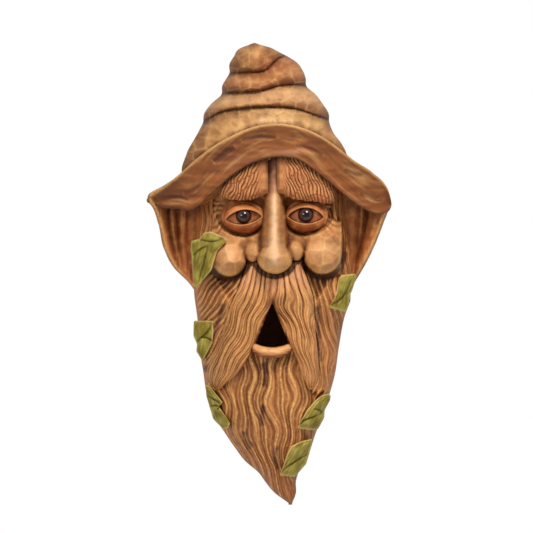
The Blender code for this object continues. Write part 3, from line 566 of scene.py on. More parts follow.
def face(x, z):
    depth = FACE_DEPTH(z) * section(x, HEAD_LEFT(z) + 0.3, HEAD_RIGHT(z) - 0.3, 2.6)
    depth = depth - FACE_FALL * (1 - ease(50, 53, z))
    scoop = whittled(x, z, *FACETS)[0] ** 2
    for middle, *sizes in CHEEKS:
        round_cheek = swelling(x, z, middle, *sizes, 0.6, CHEEK_RISE, 4.5) + 0.14 * scoop - 0.2
        depth = join(depth, round_cheek, 0.5 + 2.6 * ease(0, 3, z - middle[1]))
    edge = np.abs(x - FACE_MIDDLE) + 0.3 * wander(x, z, 3, 2.5, 9)
    depth = depth - FACE_FALL * ease(*FACE_EDGE, edge) - 2.0 * eye_hollows(x, z)
    scoop = whittled(x, z, *NOSE_FACETS)[0] ** 2 * (1 - 0.85 * ease(55, 58, z))
    depth = join(depth, nose(x, z) + 0.12 * scoop - 0.12, 0.6 + 2.0 * ease(53, 57, z))
    return depth + bags(x, z) + crows_feet(x, z)[0] + 0.06 * wander(x, z, 1.5, 1.5, 4)


def shadow_under_face(x, z, inner=0.0):
    """1 right below the nose and the cheeks, where painted shadow falls, fading to 0."""
    shade = np.zeros(x.shape)
    for middle, *radii in MASSES:
        reach = reach_from(x, z, middle, radii)
        close = ease(inner, inner + 0.08, reach) * ease(1.4, 1.16, reach)
        shade = np.maximum(shade, close * (z < middle[1] + 0.4))
    return shade


def shadow_line(surface, shade):
    """Lays the near-black painted shadow that runs close below the nose and the cheeks."""
    surface.paint = coated(surface.paint, (SHADOW_BLACK, 0.9 * ease(0.35, 0.9, shade)))
    surface.crest = surface.crest * (1 - shade)


def brim_shadow(x, z):
    """The painted shadow that the hat's brim casts on the face, a dark line where it sits."""
    return 0.85 * ease(1.3, 0.2, BRIM_FOOT(x) - z)


def head_inset(x, z):
    """How far a place is from the head's nearer side."""
    return np.minimum(x - HEAD_LEFT(z), HEAD_RIGHT(z) - x)


def side_hair(x, z):
    within = 1.8 * np.clip(head_inset(x, z) - SIDE_HAIR_BAND(z), 0, None)
    return 17.2 * section(x, HEAD_LEFT(z), HEAD_RIGHT(z), 3.0) - within - 20 * (1 - ease(24, 45, z))


def hair_bed(x, z):
    return HAIR_DEPTH(z) * section(x, HEAD_LEFT(z), HEAD_RIGHT(z), HEAD_ROUNDNESS)


def head_mass(x, z):
    return join(hair_bed(x, z), side_hair(x, z), 3.0)


def beside_moustache(x, z):
    """1 on the hair outside the moustache and 0 on the beard between its two locks."""
    outside = np.maximum(LOCKS["left"][0](z) - x, x - LOCKS["right"][1](z))
    return ease(-0.4, 0.4, outside) * ease(21, 24, z)


def cords(phase):
    """Rounded strands with sharp grooves between them, with their crests at whole phases."""
    return 1 - gouges(phase + 0.5)


def rusty(x, z, seed):
    """Long uneven patches down the hair."""
    return ease(0, 0.9, wander(x, z, 2.2, 6, seed))


def streaky(x, z, seed):
    """Breaks in the light brushing along the strands."""
    return ease(-0.7, 0.5, wander(x, z, 1.5, 4.5, seed))


def strands(x, z):
    """Scooped strands of hair, each split by finer ones, the phase across them, and 1 along their crests."""
    stray = 0.3 * wander(x, z, 3.0, 8.0, 11) + 0.1 * wander(x, z, 1.2, 3.5, 12)
    down = (x - BEARD_MIDDLE(z)) / BEARD_SPACING(z) + stray
    down = down + 0.2 * np.sin(0.66 * z + 0.3 * x) + 0.2 * np.sin(0.31 * z - 0.4 * x)
    slant = np.where(x < 0, LEFT_SLANT(z), RIGHT_SLANT(z))
    out = (x - slant) / SIDE_SPACING + 0.22 * np.sin(0.7 * z + 0.5 * x) + stray
    beside = beside_moustache(x, z)
    split = 0.3 * wander(x, z, 1.6, 5.0, 13)
    cut_here = 0.34 * BEARD_SPACING(z) * (1 - 0.3 * beside)
    relief, crests = 0, 0
    for phase, share in ((down, 1 - beside), (out, beside)):
        broad, fine = gouges(phase), gouges(2.5 * phase + 0.5 + split)
        locks = gouges(0.37 * phase + 0.3 * wander(x, z, 4, 7, 15))
        relief = relief + share * cut_here * (broad - 0.5 + 0.38 * (fine - 0.5) + 0.35 * (locks - 0.5))
        crests = crests + share * np.clip(broad ** 6 + 0.45 * fine ** 7, 0, 1) * (1 - 0.75 * beside)
    relief = relief + 0.9 * beside * ease(24.2, 25.2, z + 1.2 * gouges(out))
    crests = crests * (0.25 + 0.75 * streaky(x, z, 14))
    return relief * ease(0, 1.2, head_inset(x, z)), down * (1 - beside) + out * beside, crests


def under_hat(side):
    """The head's side, drawn in under the hat where its front ends."""
    across = np.linspace(0, 17, 120) * side
    end = np.maximum.accumulate((BRIM_FOOT(across) + TUCK)[::-1])
    head_side = HEAD_LEFT if side < 0 else HEAD_RIGHT
    return lambda z: side * np.minimum(side * head_side(z), np.interp(z, end, np.abs(across)[::-1]))


def head_surface():
    x, z = spread(np.linspace(0, HEAD_TOP, HEAD_LEVELS), under_hat(-1), under_hat(1), HEAD_COLUMNS)
    relief, phase, crests = strands(x, z)
    channels = sum(bell(near_path(x, z, path)[0], 0.6) for path in PLUM_CHANNELS)
    hair, skin = head_mass(x, z) + relief - 0.4 * channels, face(x, z)
    depth = np.maximum(hair, skin) * (1 - ease(1, 3, z - BRIM_FOOT(x)))
    depth[:, 0] = depth[:, -1] = 0
    hairy = ease(-0.3, 0.3, hair - skin)
    shade = shadow_under_face(x, z)
    # Plum along the carved channels, and plum painted shadow below the nose and the cheeks
    paint = coated(head_paint(x, z, hairy), (PLUM, 0.8 * channels), (PLUM, 0.6 * shade * hairy))
    # Painted shade below the lip
    wash_and_shade = 0.55 * bell(reach_from(x, z, (0, MOUTH_FOOT - 2.6), (1.3, 0.7)), 2.0)
    # Painted shadow below the nose and the cheeks and under the hat's brim
    wash_and_shade = wash_and_shade + 0.9 * shade * hairy + brim_shadow(x, z)
    crest = crests * hairy * 0.95 + 0.3 * crows_feet(x, z)[1] * (1 - hairy)
    across = np.where(hairy > 0.5, STRAND_STREAKS[0] * phase, STREAKS * x)
    along = np.where(hairy > 0.5, STRAND_STREAKS[1], STREAKS) * z
    surface = Surface(x, z, depth, paint, wash_and_shade, crest, (across, along))
    surface.wash_shade_and_highlight(9, 0.5 + 0.8 * hairy, 0.5 + 0.5 * hairy)
    surface.crest = surface.crest * (1 - 0.55 * np.clip(channels, 0, 1))
    # Near-black painted shadow close below the nose and the cheeks
    shadow_line(surface, shadow_under_face(x, z, 0.98) * np.maximum(hairy, ease(21.5, 20, depth)))
    return surface


def skin_paint(x, z):
    aside = np.abs(x - 0.45)
    # Painted shade on the nose's flanks, deeper on its right, and a painted highlight along its ridge
    flank = ease(0.7, 1.5, aside) * ease(3.8, 2.4, aside) * ease(53.5, 57, z)
    ridge = bell(x - 0.4, 0.7 + 0.7 * ease(60, 54, z)) * ease(50.5, 53, z) * ease(69, 66, z)
    temples = ease(9.2, 10.8, np.abs(x - 0.6)) * ease(57.5, 60, z)
    paint = coated(SKIN, (SKIN_RED, 0.5 * ease(0.1, 0.8, wander(x, z, 3.0, 2.4, 17))))
    # Painted shade in the eye hollows
    for side, up in (LEFT_EYE, RIGHT_EYE):
        hollow = reach_from(x, z, (side, up + HOLLOW_RISE), (5.4, 4.4))
        paint = coated(paint, (SOCKET_SHADE, 0.9 * bell(hollow, 0.95)))
    paint = coated(paint, (SKIN_RED, 0.35 * temples), (SKIN_SHADE, (0.34 + 0.26 * (x > 0)) * flank),
                   (RIDGE_HIGHLIGHT, 0.85 * ridge), (BRIDGE_GREY, ease(66, 68.5, z) * bell(x, 2.6)))
    # Plum painted shade along the lower edge of each bag under the eyes
    for side, up in (LEFT_EYE, RIGHT_EYE):
        below = z - up + BAG_DROP + 0.1 - 0.13 * (x - side) ** 2
        paint = coated(paint, (PLUM, 0.55 * bell(below, 0.5) * ease(5.2, 3.8, np.abs(x - side))))
    # A painted highlight on the upper part of each cheek
    for side, up in [mass[0] for mass in CHEEKS]:
        paint = coated(paint, (SKIN_HIGHLIGHT, 0.45 * bell(reach_from(x, z, (side, up + 0.8)), 2.4)))
    # A painted highlight on the facet ridges about the cheeks and the nose
    near_middle = bell(np.hypot(np.abs(x - 0.8) - 10, z - 54.8), 3.2) + bell(np.hypot(x - 0.6, z - 53.4), 3)
    ridges = np.where(np.abs(x) > 5, whittled(x, z, *FACETS)[1], whittled(x, z, *NOSE_FACETS)[1])
    return coated(paint, (SKIN_HIGHLIGHT, 0.6 * ridges * near_middle))


def head_paint(x, z, hairy):
    hair = coated(HAIR, (HAIR_LOW, ease(26, 6, z)), (HAIR_SIDE, beside_moustache(x, z)),
                  (RUST_AND_SHADE, 0.5 * rusty(x, z, 16)))
    return coated(skin_paint(x, z), (hair, hairy))


# The cuts: the chamber, the mouth, the back panel's seat and the hanging slot
def cutter(name, rings):
    rings = np.asarray(rings, float)
    blank = np.zeros(rings.shape[:2])
    return ring_piece(name, rings, np.broadcast_to(INSIDE, rings.shape), blank, blank)


def mouth_half(share):
    """Half the mouth's width at a share of the way down it: a rounded triangle."""
    rounded = np.clip((share - MOUTH_WIDEST) / (1 - MOUTH_WIDEST), 0, 1)
    return MOUTH_HALF * share ** 0.95 * np.sqrt(1 - rounded ** 2)


def chamber_cut():
    angles = np.linspace(-math.pi / 2, math.pi / 2, 37)
    rings = []
    centre, reach = (CAVITY_FLOOR + CAVITY_TOP) / 2, (CAVITY_TOP - CAVITY_FLOOR) / 2
    for z in centre - reach * np.cos(np.linspace(0, math.pi, 33)):
        middle = (HEAD_LEFT(z) + HEAD_RIGHT(z)) / 2 * UNIT
        half = (HEAD_RIGHT(z) - HEAD_LEFT(z)) / 2 * UNIT - WALL - DEEPEST_CARVING * UNIT / 2
        deep = (HAIR_DEPTH(z) - DEEPEST_CARVING) * UNIT - WALL - BACK_WALL
        crowned = max(0.3, 1 - abs((z - centre) / reach) ** 6) ** 0.5
        across, forward = half * crowned * np.sin(angles), deep * crowned * np.cos(angles)
        rings.append([(middle + x, -BACK_WALL - y, level(z)) for x, y in zip(across, forward)])
    return cutter("chamber_cut", rings)


def mouth_cut():
    rounding = np.sin(np.linspace(0, math.pi / 2, 12))[1:-1]
    shares = np.array([*np.linspace(0.02, MOUTH_WIDEST, 24), *(MOUTH_WIDEST + (1 - MOUTH_WIDEST) * rounding)])
    left, z = -mouth_half(shares), MOUTH_TOP - MOUTH_DROP * shares
    across, up = np.concatenate([left, -left[::-1]]), np.concatenate([z, z[::-1]])
    return cutter("mouth_cut", [to_metres(across, up, depth) for depth in (BACK_WALL / UNIT + 4, 32)])


def slab_cut(name, width, height, corner, middle, near, far):
    outline = []
    for turn, side, end in ((0, 1, 1), (0.5, -1, 1), (1, -1, -1), (1.5, 1, -1)):
        for angle in math.pi * (turn + np.linspace(0, 0.5, 9)):
            x = side * (width / 2 - corner) + corner * math.cos(angle)
            z = end * (height / 2 - corner) + corner * math.sin(angle)
            outline.append((middle[0] + x, middle[1] + z))
    return cutter(name, [[(x, -distance, z) for x, z in outline] for distance in (near, far)])


def rod_cut(name, radius, deep, middle):
    turns = np.linspace(0, 2 * math.pi, 48, endpoint=False)
    outline = [(radius * math.cos(turn), middle + radius * math.sin(turn)) for turn in turns]
    return cutter(name, [[(x, -distance, z) for x, z in outline] for distance in (-PAST, deep)])


def panel_cuts():
    low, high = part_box("back_panel")
    width, height, thick = high.x - low.x, high.z - low.z, high.y - low.y
    middle = (0, (low.z + high.z) / 2)
    return [
        slab_cut("seat_cut", width + 2 * PANEL_MARGIN, height + 2 * PANEL_MARGIN, PANEL_CORNER + PANEL_MARGIN,
                 middle, -PAST, thick + PANEL_MARGIN),
        slab_cut("opening_cut", width - 2 * PANEL_LEDGE, height - 2 * PANEL_LEDGE,
                 PANEL_CORNER - PANEL_LEDGE / 2, middle, -PAST, BACK_WALL + PAST),
        rod_cut("notch_cut", THUMB_NOTCH_RADIUS, THUMB_NOTCH_DEPTH, high.z),
    ]


def slot_cuts():
    shank_middle = -HANGER_ABOVE_SLOT - SCREW_SHANK_SLOT / 2
    entry = shank_middle - SLOT_TRAVEL
    middle = (0, (shank_middle + entry) / 2)
    return [
        rod_cut("entry_cut", SCREW_HEAD_HOLE / 2, SLOT_DEPTH, entry),
        slab_cut("shank_cut", SCREW_SHANK_SLOT, SLOT_TRAVEL + SCREW_SHANK_SLOT,
                 SLOT_ROUNDING * SCREW_SHANK_SLOT, middle, -PAST, SLOT_LIP + PAST / 2),
        slab_cut("channel_cut", SCREW_HEAD_CHANNEL, SLOT_TRAVEL + SCREW_HEAD_CHANNEL,
                 SLOT_ROUNDING * SCREW_HEAD_CHANNEL, middle, SLOT_LIP, SLOT_DEPTH),
    ]


def cut(piece, tools):
    for tool in tools:
        modifier = piece.modifiers.new(tool.name, "BOOLEAN")
        modifier.operation = "DIFFERENCE"
        modifier.solver = "MANIFOLD"
        modifier.object = tool
    bpy.context.view_layer.update()
    evaluated = piece.evaluated_get(bpy.context.evaluated_depsgraph_get())
    finished = bpy.data.meshes.new_from_object(evaluated)
    piece.modifiers.clear()
    piece.data = finished
    coat_cut_faces(finished)


def coat_cut_faces(mesh):
    """Paints the walls that a cut opens, and the flat back with one even coat."""
    places = np.array([point.co for point in mesh.vertices])
    on_back = np.abs(places[:, 1]) < ON_BACK * UNIT
    for name, field, width, coat in (("paint", "color", 4, (*BACK_BROWN, 1)), ("flow", "vector", 3, 0),
                                     ("wash_and_shade", "value", 1, 0), ("crest", "value", 1, 0)):
        stored = mesh.attributes[name].data
        values = np.zeros(width * len(places))
        stored.foreach_get(field, values)
        values = values.reshape(-1, width)
        if name == "paint":
            values[values[:, :3].min(1) > UNPAINTED, :3] = INSIDE
        values[on_back] = coat
        stored.foreach_set(field, values.ravel())


# The moustache and the lip
LOCK_LEVELS, LOCK_COLUMNS = 320, 126
LOCK_MARGIN = 0.15
LIP_SECTIONS, LIP_POINTS = 90, 40
LIP_REACH = 1.08
LIP_FALL = 1.3


def lock_strands(x, z, t, full, half, count):
    """The moustache's strands: the phase across them, their finer split, and their relief."""
    stray = 0.2 * wander(x, z, 2.5, 8, 21) + 0.1 * wander(x, z, 1, 3, 22)
    phase = count * t + 0.28 * (1 - 0.7 * full) * np.sin(0.75 * z + 4 * t) + stray
    broad = cords(phase) * full + gouges(phase) * (1 - full)
    fine = gouges(2.5 * phase + 0.5 + 0.3 * wander(x, z, 1.5, 4, 23))
    clumps = gouges(0.42 * phase + 0.3 * wander(x, z, 4, 7, 26))
    relief = broad - 0.5 + (0.36 - 0.2 * full) * (fine - 0.5) + 0.4 * (1 - full) * (clumps - 0.5)
    return phase, fine, (0.46 - 0.06 * full) * 2 * half / count * relief


def lock_surface(side):
    """One half of the moustache, and the depth of its back at each level."""
    low_side, high_side, count = LOCKS[side]
    x, z = spread(np.linspace(LOCK_FOOT, LOCK_TOP, LOCK_LEVELS),
                  lambda z: np.maximum(low_side(z), HEAD_LEFT(z) + LOCK_MARGIN),
                  lambda z: np.minimum(high_side(z), HEAD_RIGHT(z) - LOCK_MARGIN), LOCK_COLUMNS)
    half = np.maximum((high_side(z) - low_side(z)) / 2, 0.2)
    t = (x - low_side(z)) / (2 * half)
    inside = section(np.clip(t, 0, 1), 0, 1, 2.6)
    inner = t if side == "left" else 1 - t
    inside = inside + (1 - inside) * ease(0.5, 0.7, inner) * ease(43.2, 45.5, z)
    full = ease(41, 48, z)
    phase, fine, carving = lock_strands(x, z, t, full, half, count)
    ends = np.minimum((z - LOCK_FOOT) * (0.5 + 0.5 * gouges(phase)), LOCK_TOP - z)
    bed = hair_bed(x, z)
    depth = bed + MOUSTACHE_PROUD(z) + 2.2 * inside * rounded_edge(ends, 1.5) - 2.2 + carving
    paint = coated(MOUSTACHE, (MOUSTACHE_TOP, ease(44, 50, z)), (RUST_AND_SHADE, 0.4 * rusty(x, z, 24)))
    # Painted shadow below the nose and the cheeks, dark and as a near-black line
    shade = shadow_under_face(x, z)
    sharp = np.clip(gouges(phase) ** 7 * (1 - full) + 0.7 * fine ** 7 * (1 - 0.6 * full), 0, 1)
    crest = sharp * (0.4 + 0.6 * streaky(x, z, 25))
    flow = (STRAND_STREAKS[0] * phase, STRAND_STREAKS[1] * z)
    surface = Surface(x, z, depth, paint, 0.9 * shade, crest, flow).wash_shade_and_highlight(9, 1.6, 1.5)
    shadow_line(surface, shade)
    surface.crest = surface.crest * ease(0, 0.08, np.minimum(t, 1 - t))
    return surface, np.minimum(bed[:, 0], bed[:, -1]) - 0.6


def lip():
    crescent = ((-LIP_REACH, 0.9), (-0.6, -0.25), (0, -0.65), (0.6, -0.25), (LIP_REACH, 0.9))
    share = np.linspace(0, len(crescent) - 1, LIP_SECTIONS)
    line = path_places([(side * MOUTH_HALF, MOUTH_FOOT + rise) for side, rise in crescent], share)
    top = curve((0, 19.6), (1, 20.9), (2, 21.2), (3, 20.9), (4, 19.6))(share)
    ends = rounded_edge(np.minimum(share, 4 - share), 0.35)
    radius = curve((0, 0.8), (1, 1.15), (2, 1.2), (3, 1.15), (4, 0.8))(share) * np.maximum(ends, 0.05)
    run = np.gradient(line, axis=0)
    across = np.stack([-run[:, 1], run[:, 0]], 1) / np.linalg.norm(run, axis=1)[:, None]
    turns = np.linspace(0, 2 * math.pi, LIP_POINTS, endpoint=False)
    out, up = radius[:, None] * np.cos(turns), radius[:, None] * np.sin(turns)
    x = line[:, :1] + across[:, :1] * up
    z = line[:, 1:] + across[:, 1:] * up
    depth = (top - LIP_FALL)[:, None] + out * 1.25 + 0.06 * wander(x, z, 1.2, 0.8, 31)
    facing, inward = np.sin(turns) * np.ones(x.shape), -np.cos(turns) * np.ones(x.shape)
    # Painted shade on the lip's underside, on its back and along its top, and a painted highlight on its
    # upper front
    paint = coated(LIP, (SKIN_SHADE, ease(0.1, -0.8, facing)),
                   (SKIN_RED, 0.6 * ease(0.1, 0.8, wander(x, z, 1.6, 0.7, 32))))
    wash_and_shade = 0.6 * ease(0.1, 0.9, inward) + 0.5 * ease(0.75, 1.0, facing)
    crest = 0.5 * bell(facing - 0.35, 0.3) * (0.6 + 0.4 * wander(x, z, 1.0, 0.5, 33))
    surface = Surface(x, z, depth, paint, wash_and_shade, crest, (0.4 * x, 1.4 * z))
    rings = to_metres(x, z, depth)[:, ::-1]
    return ring_piece("lower_lip", rings, *[coat[:, ::-1] for coat in surface.coats()])


# The brows
BROW_LEVELS, BROW_COLUMNS = 176, 196
BROW_LEAN = {"left": -0.42, "right": 0.38}
BROW_THICK = 2.4
BROW_BACK = 16.0


def brow_surface(side):
    left, right = BROW_SIDES[side]
    share = np.linspace(0, 1, BROW_LEVELS)[:, None] ** 1.2
    x = left + (right - left) * np.linspace(0, 1, BROW_COLUMNS) + 0 * share
    foot = BROW_FOOT(x) + 0.14 * wander(x, 0 * x, 0.45, 1, 41)
    z = foot + (BRIM_FOOT(x) + 2.5 - foot) * share
    from_nose = right - x if side == "left" else x - left
    rounded = rounded_edge(z - foot, 2.0) * rounded_edge(np.minimum(x - left, right - x), 0.9)
    lean = BROW_LEAN[side] * (z - 66) * (1 - 0.3 * ease(0, 10, from_nose))
    phase = 1.45 * (x + lean) + 0.25 * np.sin(1.3 * z + x) + 0.4 * wander(x, z, 1.3, 1.8, 42)
    ends = gouges((z + 1.9 * np.sin(12.9 * np.floor(phase + 0.5))) / 3.1)
    furry = ease(1.2, 3.0, from_nose)
    strokes = cords(phase) * (1 - 0.55 * ends ** 5)
    fine = cords(2.4 * phase + 0.5 + 0.4 * wander(x, z, 1.1, 1.6, 43))
    carving = furry * (0.42 * (strokes - 0.55) + 0.16 * (fine - 0.5))
    depth = BROW_DEPTH(x) - BROW_THICK + BROW_THICK * rounded + carving
    paint = coated(BROW, (SKIN, 0.6 * (1 - furry)), (RUST_AND_SHADE, 0.4 * furry * (1 - strokes)),
                   (BROW_LIGHT, 0.6 * furry * np.clip(strokes ** 4, 0, 1)))
    broken = ease(-0.6, 0.3, wander(x, z, 0.8, 1.6, 44))
    crest = 0.4 * furry * broken * np.clip(strokes ** 6 + 0.3 * fine ** 6, 0, 1)
    # The brows get the brim's painted shadow
    surface = Surface(x, z, depth, paint, brim_shadow(x, z), crest, (1.6 * phase * furry, 0.4 * z))
    return surface.wash_shade_and_highlight(8, 0.6, 0.5)


# The eyes
# For each eye: its middle, the middle of its lids, and its opening as corner, slant, rise and drop
EYES = {
    "left": (LEFT_EYE, (-5.95, 62.2), (-0.5, 0.09, 1.7, 1.25)),
    "right": (RIGHT_EYE, (7.05, 62.45), (-0.5, -0.02, 1.9, 1.3)),
}
LID_RADII = (4.3, 3.5)
LID_MARGIN = 0.55
LID_HALF = 3.7
LID_TOP = 21.2
LID_FALL = 3.6
LID_POINTS, LID_RINGS, BALL_RINGS = 220, 50, 26
LIDS_BACK = 16.2
BALL_TOP = 19.95
LID_FOLD = (-3.6, -1.8, 0, 1.8, 3.6)


def between_lids(across, up, opening):
    corner, slant, rise, drop = opening
    line = corner + slant * across
    bow = np.clip(1 - (across / LID_HALF) ** 2, 0, None)
    return (up < line + rise * bow ** 0.75) & (up > line - drop * bow ** 0.85) & (np.abs(across) < LID_HALF)


def aperture(turns, opening):
    """How far the opening between the lids reaches, in each direction from the eye's middle."""
    near, far = np.zeros(turns.shape), np.full(turns.shape, LID_HALF * 1.2)
    for step in range(30):
        radius = (near + far) / 2
        inside = between_lids(radius * np.cos(turns), radius * np.sin(turns), opening)
        near, far = np.where(inside, radius, near), np.where(inside, far, radius)
    return near


def eye_socket(side):
    """The lids and the painted ball between them, as rings around the eye."""
    middle, lid_middle, opening = EYES[side]
    turns = np.linspace(0, 2 * math.pi, LID_POINTS, endpoint=False)
    inner = aperture(turns, opening)
    wide, high = LID_RADII[0] + LID_MARGIN, LID_RADII[1] + LID_MARGIN
    outer = 1 / np.sqrt((np.cos(turns) / wide) ** 2 + (np.sin(turns) / high) ** 2)
    on_ball, on_lids = np.linspace(0.03, 1, BALL_RINGS), 1 + np.linspace(0, 1, LID_RINGS)[1:] ** 1.2
    steps = np.concatenate([on_ball, on_lids])[:, None]
    radius = np.where(steps <= 1, steps * inner, inner + (outer - inner) * (steps - 1))
    x, z = middle[0] + radius * np.cos(turns), middle[1] + radius * np.sin(turns)
    across, up = x - middle[0], z - middle[1]
    past = radius - inner
    fold_line = [(middle[0] + a, middle[1] + 2.75 - 0.12 * a * a) for a in LID_FOLD]
    lids = dome(x, z, lid_middle, LID_RADII, LID_TOP, LID_FALL, 2.2) + 0.3 * bell(past - 0.3, 0.25)
    lids = lids + groove(x, z, fold_line, 0.2, 0.45)
    ball = BALL_TOP - (across ** 2 + up ** 2) / 13
    rim = rounded_edge(past, 0.28)
    depth = np.where(steps <= 1, ball, ball * (1 - rim) + np.maximum(lids, ball - 1.5) * rim)
    depth = depth + 0.04 * wander(x, z, 0.7, 0.7, 51)
    # Painted shade on the lids away from their rims and below the eye, and on the ball where the lids meet it
    lid_paint = coated(LID_RIM, (LID_SHADE, 0.5 * ease(0.5, 1.2, past) + 0.5 * ease(1.5, 0.2, up + 2.8)))
    paint = coated(EYE_WHITE, (SOCKET_SHADE, ease(0.8, 1, steps)), (lid_paint, ease(0.03, 0.15, past)))
    # Painted shadow along the opening's edge, in the lid's fold and at the outer edge, and a painted
    # highlight on the lids' rims
    creased = bell(near_path(x, z, fold_line)[0], 0.2) + 0.8 * ease(1.7, 2.0, steps)
    wash_and_shade = np.clip(0.7 * bell(past, 0.14) + 0.7 * creased, 0, 1)
    surface = Surface(x, z, depth, paint, wash_and_shade, 0.22 * bell(past - 0.4, 0.2))
    rings = np.concatenate([to_metres(x, z, depth), to_metres(x[-1], z[-1], LIDS_BACK)[None]])[::-1]
    coats = [np.concatenate([coat, coat[-1:]])[::-1] for coat in surface.coats()]
    return ring_piece("lids_" + side, rings, *coats)


# The hat's pieces
CROWN_COLUMNS = 256
CROWN_ROWS = (130, 66, 60, 60)
CROWN_ROUNDING = 1.0
FLAP_LEVELS, FLAP_COLUMNS = 190, 120
FLAP_TOP = 71.0
FLAP_TUCK = 1.9
BRIM_SECTIONS, BRIM_POINTS = 420, 74
THINNEST = 1.5
HUNG_BACKS = {"crown": 0.05, "flap": 0.1}


def fold(v):
    """A fold that hangs over its lower crease, at 0, and thins out to its upper one, at 1."""
    crest = 0.3
    under = np.sqrt(np.clip(1 - ((crest - v) / crest) ** 2, 0, None))
    over = np.clip(1 - (v - crest) / (1 - crest), 0, 1) ** 1.5
    return np.where(v < 0, 0, np.where(v < crest, under, over))


def crown_sides(z):
    left, right = np.maximum(HAT_LEFT(z), CROWN_WIDEST[0]), np.minimum(HAT_RIGHT(z), CROWN_WIDEST[1])
    rounded = np.sqrt(1 - np.clip((z - 99.0) / CROWN_ROUNDING, 0, 0.98) ** 2)
    middle = (left + right) / 2
    return middle + (left - middle) * rounded, middle + (right - middle) * rounded


def crown_rows(edges):
    """Rows that follow the crown's creases, for clean edges: their bands, places and sides."""
    rows = []
    for band, count in enumerate(CROWN_ROWS):
        shares = np.linspace(0, 1, count, endpoint=band == len(CROWN_CREASES))
        rows += [(band, share) for share in (shares if band == 0 else shares ** 1.25)]
    angles = np.linspace(-math.pi / 2, math.pi / 2, CROWN_COLUMNS)
    band, share = [np.array(column)[:, None] + 0 * angles for column in zip(*rows)]
    x = 10 * np.sin(angles) + 0 * share
    for step in range(12):
        low = np.choose(band.astype(int), [edge(x) for edge in edges[:-1]])
        high = np.choose(band.astype(int), [edge(x) for edge in edges[1:]])
        z = low + (high - low) * share
        left, right = crown_sides(z)
        x = (left + right) / 2 + (right - left) / 2 * np.sin(angles)
    return band, x, z, left, right


def crown_paint(x, z, band, passed, ridges):
    # Painted highlight on the crown's lower middle, and painted shade on its sides, deeper on the left
    paint = coated(FELT, (FELT_HIGHLIGHT, 0.8 * bell(reach_from(x, z, (1, 82.5), (10, 3.2)), 1)),
                   (FELT_SIDE_SHADE, 0.65 * ease(-8, -17, x) + 0.35 * ease(9, 16, x)))
    for k, (v, fold_paint) in enumerate(zip(passed, FOLD_PAINTS)):
        # Painted shade under each fold, where it hangs over its lower crease
        hanging = coated(fold_paint, (FOLD_SHADE, 0.75 * ease(0.5, 0.1, v + 0.1 * wander(x, z, 2.5, 2, 64))))
        paint = coated(paint, (hanging, band == k + 1))
    rusted = 0.45 * ease(0.0, 0.8, wander(x, z, 3.5, 2.2, 65))
    # A painted highlight on the facet ridges, over the red-brown patches
    return coated(paint, (RUST_AND_SHADE, rusted), (FELT_HIGHLIGHT, 0.2 * ridges))


def crown_surface():
    edges = [lambda x: BRIM_FOOT(x) + 1.0, *CROWN_CREASES, lambda x: CROWN_TOP + 0 * x]
    band, x, z, left, right = crown_rows(edges)
    uppers = [edge(x) for edge in edges[2:-1]] + [FOLD_REACH + 0 * x]
    passed = [(z - low(x)) / np.maximum(upper - low(x), 0.5) for low, upper in zip(edges[1:], uppers)]
    depth = CROWN_DEPTH(z)
    for k, v in enumerate(passed):
        depth = depth + CROWN_RISES[k] * np.where(band == k + 1, fold(v), 0)
    depth = depth * section(x, left, right, HEAD_ROUNDNESS)
    reach, ridges = whittled(0.85 * x, z, 2.6, 61)
    ridges = ridges * ease(-0.4, 0.4, wander(x, z, 4, 4, 63))
    depth = depth + (0.11 * reach ** 2 - 0.17 + 0.14 * wander(x, z, 3.5, 2, 62)) * ease(0, 2, depth)
    paint = crown_paint(x, z, band, passed, ridges)
    # Painted shade just above the brim, and dark washes with painted shade along and under each crease
    wash_and_shade = 0.8 * ease(1.3, 0, z - BRIM_TOP(x)) * (z > BRIM_TOP(x) - 1)
    for crease in CROWN_CREASES:
        wash_and_shade = wash_and_shade + 0.9 * bell(z - crease(x), 0.35) + 0.35 * bell(z - crease(x) + 0.5, 0.9)
    return Surface(x, z, depth, paint, wash_and_shade, 0.12 * ridges).wash_shade_and_highlight(8, 0.7, 0.8)


def drawn_in(x, z, depth):
    """Places near the back brought in towards the middle, where the hat hangs wide."""
    flare = 0.24 * ease(HAT_FOOT, 56, z) * (1 - ease(74, 84, z))
    return x * (1 - flare * np.clip(1 - depth / (0.6 * FLAP_DEPTH(z)), 0, 1))


def flap_surface(side):
    levels = np.linspace(HAT_FOOT, FLAP_TOP, FLAP_LEVELS)
    share = (1 - np.cos(np.linspace(0, math.pi, FLAP_COLUMNS))) / 2
    if side == "left":
        start = outer = HAT_LEFT(levels)
        end = inner = HEAD_LEFT(levels) + FLAP_TUCK
    else:
        end = outer = HAT_RIGHT(levels)
        start = inner = HEAD_RIGHT(levels) - FLAP_TUCK
    x = start[:, None] + (end - start)[:, None] * share
    z = np.repeat(levels[:, None], len(share), 1)
    inset = np.abs(x - outer[:, None])
    hollow = 1 - 0.3 * ease(1, 5, inset)
    folds = sum(groove(x, z, path, 0.6, deep) for path, deep in FLAP_FOLDS)
    depth = FLAP_DEPTH(z) * rounded_edge(inset, 0.9) * hollow + folds * ease(0.6, 1.8, inset)
    streaks = wander(x, z, 0.5, 6, 71)
    depth = depth + (0.16 * streaks + 0.12 * wander(x, z, 1.5, 4, 72)) * ease(0.2, 1.5, inset)
    depth[:, 0 if side == "left" else -1] = HUNG_BACKS["flap"]
    # Painted shade under the brim and beside the face
    wash_and_shade = 0.5 * ease(3, 0.5, BRIM_FOOT(x) - z) + 0.4 * ease(2.5, 0.5, np.abs(x - inner[:, None]))
    paint = coated(FLAP, (BRIM_DARK, 0.3 + 0.4 * streaks))
    return Surface(x, z, depth, paint, wash_and_shade, 0.5 * bell(inset - 0.9, 0.4)).wash_shade_and_highlight(8, 0.8, 0.8)


